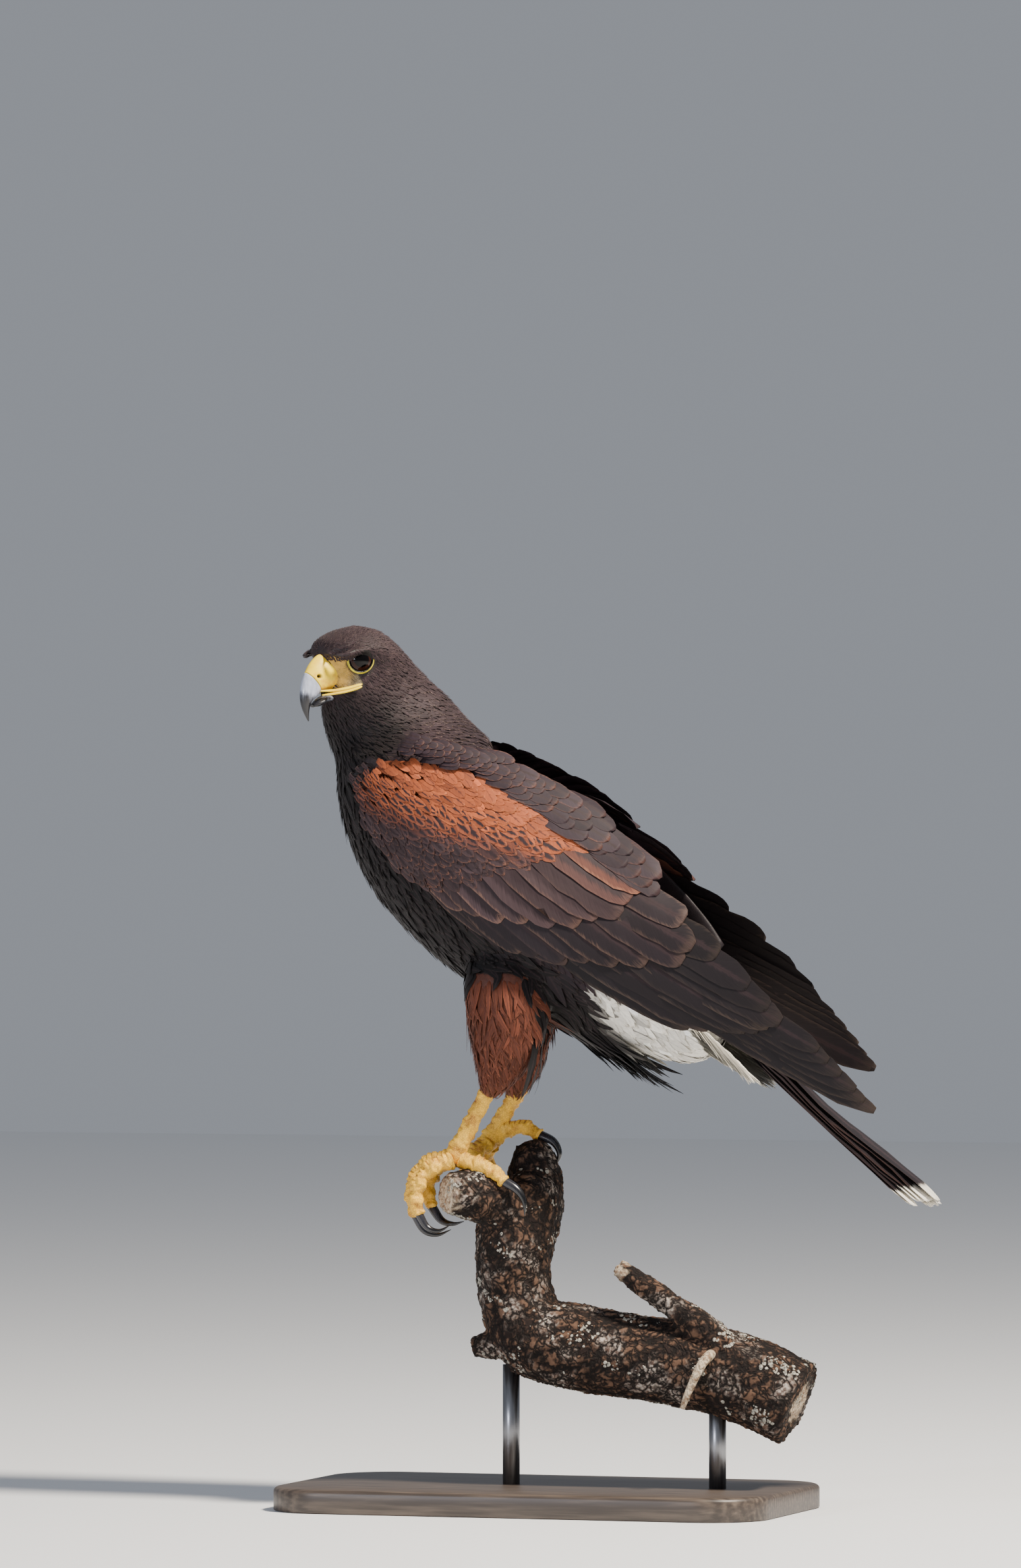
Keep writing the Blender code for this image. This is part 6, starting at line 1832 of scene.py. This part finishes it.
def tail_feathers():
    """The tail's feathers from the outermost pair, which lies lowest, to the middle."""
    length = np.linalg.norm(np.array(TAIL_TIP) - TAIL_ROOT)
    half = TAIL_FEATHERS // 2
    feathers = []
    for i in reversed(range(half)):
        share = (i + 0.5) / half
        for side in SIDES:
            vane, edge = varied([TAIL_VANE], [TAIL_EDGE], 0.08, 0.3)
            end = length - TAIL_STEP * share - (0.0 if side > 0 else 1.5) - chance.uniform(0, 5) * (i > 0)
            feathers.append({
                "root": (10, side * share * TAIL_ROOT_SPREAD),
                "tip": (end, side * share * TAIL_TIP_SPREAD + chance.normal(0, 0.8)),
                "width": RECTRIX_WIDTH, "outline": RECTRIX_OUTLINE, "bend": 0, "sunk": -2,
                "bake": (0.02 + len(feathers) * 0.08, 0.02), "patch": 0.07,
                "marks": {"Tint": vane[0], "Fringe": edge[0], "Streak": 0.3}})
    return feathers


def tail_plume(bed, under):
    """One soft covert: its stations, their normals, its length and its place on the map."""
    shares = np.array(PLUME_AT)
    start = chance.uniform(-22, 26 if under else 12)
    across = 21.0 * math.sin(chance.uniform(-1.5, 1.5)) if under else chance.uniform(-14, 14)
    long = chance.uniform(20, 34)
    if under:
        long = min(long, 55 - 8 * abs(across) / 17 - start)
    run = start + long * shares
    drift = across * (1 + 0.22 * shares) + chance.normal(0, 1.2) * shares
    layer = 0.6 + 2.6 * shares**1.3 * chance.uniform(0.5, 1)
    if under:
        height = -undertail_depth(run, drift) - layer + 1.2
    else:
        height = np.maximum(bed.top[bed.cells(np.stack([run, drift], -1))], 2) + layer
    centres = tail_at(run, drift, height)
    outer = tail_at(run, drift, height + (-1.0 if under else 1))
    bake = ((start + 25) / 60 * 0.97, (across + 22) / 44 * 0.47 + (0.0 if under else 0.5))
    return centres, unit(outer - centres), long, bake


def make_tail():
    """The tail feathers, and the soft coverts over and under their roots."""
    bed = Bed(*TAIL_FIELD)
    bed.top[:] = TAIL_FLOOR
    batch = laid_vanes(bed, tail_at, tail_feathers(), RECTRIX_AT, 0.35, 0.75, 0.1)
    show(vane_piece("tail_feathers", [batch], tail_vane, 6), "plumage_dark", "tail")

    kinds = [True] * PLUMES_UNDER + [False] * PLUMES_OVER
    rows = [tail_plume(bed, under) for under in kinds]
    centres, ups, lengths, bake = (np.array(column) for column in zip(*rows))
    count = len(rows)
    vane, edge = varied([WHITE_VANE] * count, [WHITE_EDGE] * count, 0.05, 0.5)
    half = (lengths * 0.085)[:, None] * np.interp(PLUME_AT, OUTLINE_AT, POINTED_OUTLINE)
    marks = {"Tint": vane, "Fringe": edge, "Streak": np.zeros(count), "Long": lengths}
    batch = vanes(centres, ups, unit(np.gradient(centres, axis=1)), half, 0.08, 0.12, PLUME_AT, bake,
                  COAT_PATCH, marks)
    show(vane_piece("tail_covert_plumes", [batch], plume_vane), "plumage_white")


# Shares of a shank's length with a radius, the length of its scutes and of a toe's, and the
# radius of the ball at the ankle.
SHANK_AT = (-0.05, 0.35, 0.7, 0.9, 1.04)
SHANK_SCUTE, TOE_SCUTE = 4.4, 2.7
BALL_RADIUS = ANKLE_RADIUS * 0.96
CLAW_STATIONS, CLAW_POINTS = 40, 24
CLAW_ROOTED = 1.6


def toe_line(bones, size):
    """A toe's middle line, its radius along it and the length of its scutes."""
    share = np.linspace(0, 1, 34 * (len(bones) - 1))
    path = curve_through(bones, share * (len(bones) - 1))
    pad = TOE_KNUCKLE * np.cos(math.tau * share * (len(bones) - 1))
    radii = (TOE_ROOT_RADIUS + (TOE_TIP_RADIUS - TOE_ROOT_RADIUS) * share + pad) * (0.9 + 0.1 * size)
    return path, radii * np.interp(share, (0.96, 1), (1, 0.72)), TOE_SCUTE


def scaled_tube(path, radii, scute_mm):
    """A tube with overlapping scutes across its front or upper side, and how far each of its
    points lies in a groove between them."""
    rings = np.array(tube(path, radii, 36))
    run = np.concatenate([[0], np.cumsum(np.linalg.norm(np.diff(path, axis=0), axis=1))])
    out = unit(rings - np.array(path)[:, None])
    top = ramp(out[..., 2] * 0.8 - out[..., 0] * 0.5, 0.15, 0.6)
    phase = (run / scute_mm) % 1.0
    ridge = (phase**0.6 * (1 - ramp(phase, 0.86, 1)))[:, None]
    groove = ((phase > 0.88) | (phase < 0.08)).astype(float)[:, None] * top
    spots = rings.reshape(-1, 3)
    knobs = (0.5 * lumpy(spots, 6, 31) + 0.25 * lumpy(spots, 2.6, 32)).reshape(top.shape)
    points, faces = loft(rings + out * (top * (0.8 * ridge - 0.4) + knobs)[..., None])
    groove = np.vstack([groove[:1], groove[:1], groove, groove[-1:], groove[-1:]])
    return (points, faces), groove.ravel()


def make_talon(side, toe, bones, hook, size):
    """The claw at the end of a toe, from inside the toe to its point."""
    line = evenly(bones, 9)
    ahead = (line[-1] - line[-2]) / np.linalg.norm(line[-1] - line[-2])
    path = evenly([line[-1] - ahead * CLAW_ROOTED, *hook], CLAW_STATIONS)
    radii = CLAW_RADIUS * size * (1 - np.linspace(0, 1, CLAW_STATIONS)**1.4 * 0.93)
    points, faces = loft(tube(path, radii, CLAW_POINTS, squash=0.85))
    count = len(points) // CLAW_POINTS
    growth = np.repeat(np.clip((np.arange(count) - 2) / (count - 5), 0, 1), CLAW_POINTS)
    claw = mesh_piece("_".join(("talon", side, toe)), points, faces, claw_horn, numbers={"Growth": growth})
    show(outwards(claw), "claw_horn", "_".join(("claw", side, toe)))


def make_feet():
    """Each foot's shank, ankle and toes in one scaly piece, and its claws."""
    for side, toes in TOES.items():
        top, ankle = (np.array(p) for p in SHANKS[side])
        shank = evenly([top + (ankle - top) * t for t in SHANK_AT], 60)
        lines = [(shank, evenly([[r] for r in SHANK_RADII], 60)[:, 0], SHANK_SCUTE)]
        lines += [toe_line(bones, size) for bones, _, size in toes.values()]
        scaled = [scaled_tube(*line) for line in lines]
        polar = np.linspace(0.08, math.pi - 0.08, 20)
        ball = [ankle + np.array((0, 0, -0.5)) + BALL_RADIUS * np.array((0, 0, math.cos(p))) for p in polar]
        knuckle = loft(tube(ball, [BALL_RADIUS * math.sin(p) for p in polar], 36))
        grooves = [groove for _, groove in scaled] + [np.zeros(len(knuckle[0]))]
        foot = lofted("scaled_foot_" + side, [lofts for lofts, _ in scaled] + [knuckle], foot_skin,
                      numbers={"Groove": np.concatenate(grooves)})
        show(foot, "foot_skin", "foot_" + side)
        for toe, (bones, hook, size) in toes.items():
            make_talon(side, toe, bones, hook, size)


def lumpy(points, wave_mm, seed):
    """A smooth random number over space, about -1 to 1."""
    waves = np.random.default_rng(seed)
    total = np.zeros(len(points))
    for _ in range(10):
        way = unit(waves.normal(size=3))
        step = math.tau / (wave_mm * waves.uniform(0.7, 1.4))
        total += np.sin(points @ way * step + waves.uniform(0, math.tau))
    return total / 3.2


# How thick the branch is before its bark rises, and the melting of its stretches into one.
BRANCH_THIN = 0.97
BRANCH_VOXEL, BRANCH_SMOOTHING = 1.5, 4
# Broken ends that show bare wood: the middle of each and how far the wood reaches.
BROKEN_ENDS = (((152, 3, 64), 10), ((-50, -36, 184.5), 9), ((47, -11, 142), 5))
FURROW_HIGH, SWELL_HIGH = 0.75, 0.8


def branch_rows(levels, count):
    """Middle line and radii of a stretch of the branch."""
    rows = evenly([[*centre, radius] for centre, radius in levels], count)
    return rows[:, :3], rows[:, 3]


def make_perch():
    """The cut fork of branch with furrowed bark and broken ends, and its bare twig."""
    lofts = []
    for levels in PERCH_STRETCHES:
        path, radii = branch_rows(levels, 8 * len(levels))
        lofts.append(loft(tube(path, radii * BRANCH_THIN, 40)))
    perch = melted(lofted("branch", lofts, bark), BRANCH_VOXEL, BRANCH_SMOOTHING)
    points, normals = points_of(perch), points_of(perch, normals=True)
    stretch = np.stack([points[:, 0] * 0.35, points[:, 1], points[:, 2] * 0.8], -1)
    furrow = np.abs(lumpy(stretch, 9, 3)) + 0.6 * np.abs(lumpy(points, 5, 4))
    relief = furrow + 0.35 * lumpy(points, 2.6, 5) - 0.7
    swell = lumpy(points, 38, 6)
    points = points + normals * (relief * FURROW_HIGH + swell * SWELL_HIGH)[:, None]
    move_points(perch, points)
    bare = np.zeros(len(points))
    for centre, reach in BROKEN_ENDS:
        away = np.linalg.norm(points - centre, axis=1) + 2 * lumpy(points, 6, 8)
        bare = np.maximum(bare, 1 - ramp(away, reach, reach + 4))
    mark(perch.data, {"Relief": relief, "Bare": bare})
    show(perch, "bark", "perch")
    twig = lofted("bare_twig", [loft(tube(*branch_rows(BARE_TWIG, 60), 18))], bark)
    spots = points_of(twig)
    mark(twig.data, {"Relief": np.full(len(spots), 0.4), "Bare": np.full(len(spots), 0.9)})
    show(twig, "bark")
    return perch


# The board's edge from its underside up: how far it is drawn in at each height.
BASE_EDGE = ((0.8, 0), (0, 0.8), (0, 11.5), (0.35, 12.6), (1.1, 13.5), (2.2, 14))
CORNER_STEPS = 16
ROD_SOCKET = 6.5


def make_stand():
    """The rounded board and the two rods that stand in it."""
    outline = []
    for corner, (sx, sy) in enumerate(((1, 1), (-1, 1), (-1, -1), (1, -1))):
        for step in range(CORNER_STEPS + 1):
            a = math.pi / 2 * (corner + step / CORNER_STEPS)
            outline.append((sx * (BASE_LENGTH / 2 - BASE_CORNER) + BASE_CORNER * math.cos(a),
                            sy * (BASE_WIDTH / 2 - BASE_CORNER) + BASE_CORNER * math.sin(a)))
    rings = []
    for inset, z in BASE_EDGE:
        scale = 1 - inset / np.array((BASE_LENGTH / 2, BASE_WIDTH / 2))
        rings.append(np.column_stack([np.array(outline) * scale, np.full(len(outline), z)]))
    show(lofted("stand_board", [loft(rings)], plinth), "stand_wood", "stand_base")
    for name, (x, top) in RODS.items():
        path = ((x, 0, BASE_THICK - ROD_SOCKET), (x, 0, top))
        rings = tube(path, (ROD_RADIUS, ROD_RADIUS), 48)
        rod = lofted("steel_" + name.split("_")[-1], [loft(rings)], steel)
        show(rod, "stand_metal", name)


cere_skin = made_by(waxy_cere, "waxy_cere")
bill_horn = made_by(grown_horn, "bill_horn", pale=linear("#aeb4c6"), dark=linear("#17171c"),
                    low=0.42, high=0.84, roughness=0.32)
claw_horn = made_by(grown_horn, "claw_horn", pale=linear("#2a2a30"), dark=linear("#060607"),
                    low=0.1, high=0.6, roughness=0.22)
eye_skin = made_by(wet_eye, "wet_eye")
lid_skin = made_by(eyelid_rim, "eyelid_rim")
foot_skin = made_by(scaly_foot, "scaly_foot")
bark = made_by(weathered_bark, "weathered_bark")
lichen = made_by(crusty_lichen, "crusty_lichen")
bristle_keratin = made_by(bristle_horn, "bristle_keratin")
plinth = made_by(stained_ash, "stained_ash")
steel = made_by(drawn_steel, "drawn_steel")

body_map = BodyMap()
skin = make_skin()
tint_skin(skin, body_map)
show(skin, "plumage_dark", "head", "neck", "torso", "thigh_left", "thigh_right", "tail_coverts")
make_coat(Ground(skin), body_map)
for side_name, side_sign in (("left", 1), ("right", -1)):
    make_eyeball(side_name, side_sign)
    make_eyelids(side_name, side_sign)
make_bill()
make_bristles(skin)
Wing("left", 1, far=False).make()
Wing("right", -1, far=True).make()
make_tail()
make_feet()
make_lichen(make_perch())
make_stand()


# Half the floor's width and the key light's aim in metres, the sky's light, and the width
# of the camera's sensor in millimetres.
FLOOR_REACH = 6.0
AIM = Vector((0, 0, 0.4))
SKY_COLOUR, SKY_STRENGTH = "#d5dbe6", 0.42
SENSOR = 36.0


def area_light(name, place, aim, size, power, colour):
    data = bpy.data.lights.new(name, "AREA")
    data.shape = "DISK"
    data.size = size
    data.energy = power
    data.color = linear(colour)[:3]
    lamp = bpy.data.objects.new(name, data)
    bpy.context.scene.collection.objects.link(lamp)
    lamp.location = place
    lamp.rotation_euler = (Vector(aim) - Vector(place)).to_track_quat("-Z", "Y").to_euler()


def make_studio(right, back):
    """A wide white floor, a pale sky, a soft key light and a small one for a glint in the eye."""
    outline = np.array([(-1, -1), (1, -1), (1, 1), (-1, 1)]) * FLOOR_REACH / MM
    paper = made_by(studio_paper, "studio_paper")
    floor = mesh_piece("studio_floor", np.column_stack([outline, np.zeros(4)]), [(0, 1, 2, 3)], paper)
    world = bpy.data.worlds.new("studio")
    world.use_nodes = True
    bpy.context.scene.world = world
    sky = world.node_tree.nodes["Background"].inputs
    sky["Color"].default_value = linear(SKY_COLOUR)
    sky["Strength"].default_value = SKY_STRENGTH
    key = AIM + (back * 0.62 + right * 0.78) * 1.5 + Vector((0, 0, 1.9))
    area_light("key", key, AIM, size=0.4, power=190, colour="#fff4e4")
    eye = eye_middle(1) * MM
    glint = eye + (back * 0.767 - right * 0.626) * 2.8 + Vector((0, 0, 0.28))
    area_light("glint", glint, eye, size=0.35, power=30, colour="#eef2ff")


def make_camera(right, back):
    """The camera of the photograph: level, far away and with its frame."""
    camera = bpy.data.cameras.new("camera")
    middle = (PHOTO_SIZE[0] / 2 - ORIGIN_PIXEL[0]) * PIXEL_MM * MM
    height = (ORIGIN_PIXEL[1] - PHOTO_SIZE[1] / 2) * PIXEL_MM * MM
    camera.sensor_width = SENSOR
    camera.lens = SENSOR * CAMERA_AWAY / (PHOTO_SIZE[1] * PIXEL_MM)
    camera.clip_end = 40.0
    holder = bpy.data.objects.new("camera", camera)
    bpy.context.scene.collection.objects.link(holder)
    holder.location = right * middle + back * (CAMERA_AWAY * MM) + Vector((0, 0, height))
    holder.rotation_euler = (math.pi / 2, 0, math.radians(CAMERA_TURN))
    bpy.context.scene.camera = holder


turned = math.radians(CAMERA_TURN)
photo_right = Vector((math.cos(turned), math.sin(turned), 0))
photo_back = Vector((math.sin(turned), -math.cos(turned), 0))
make_studio(photo_right, photo_back)
make_camera(photo_right, photo_back)
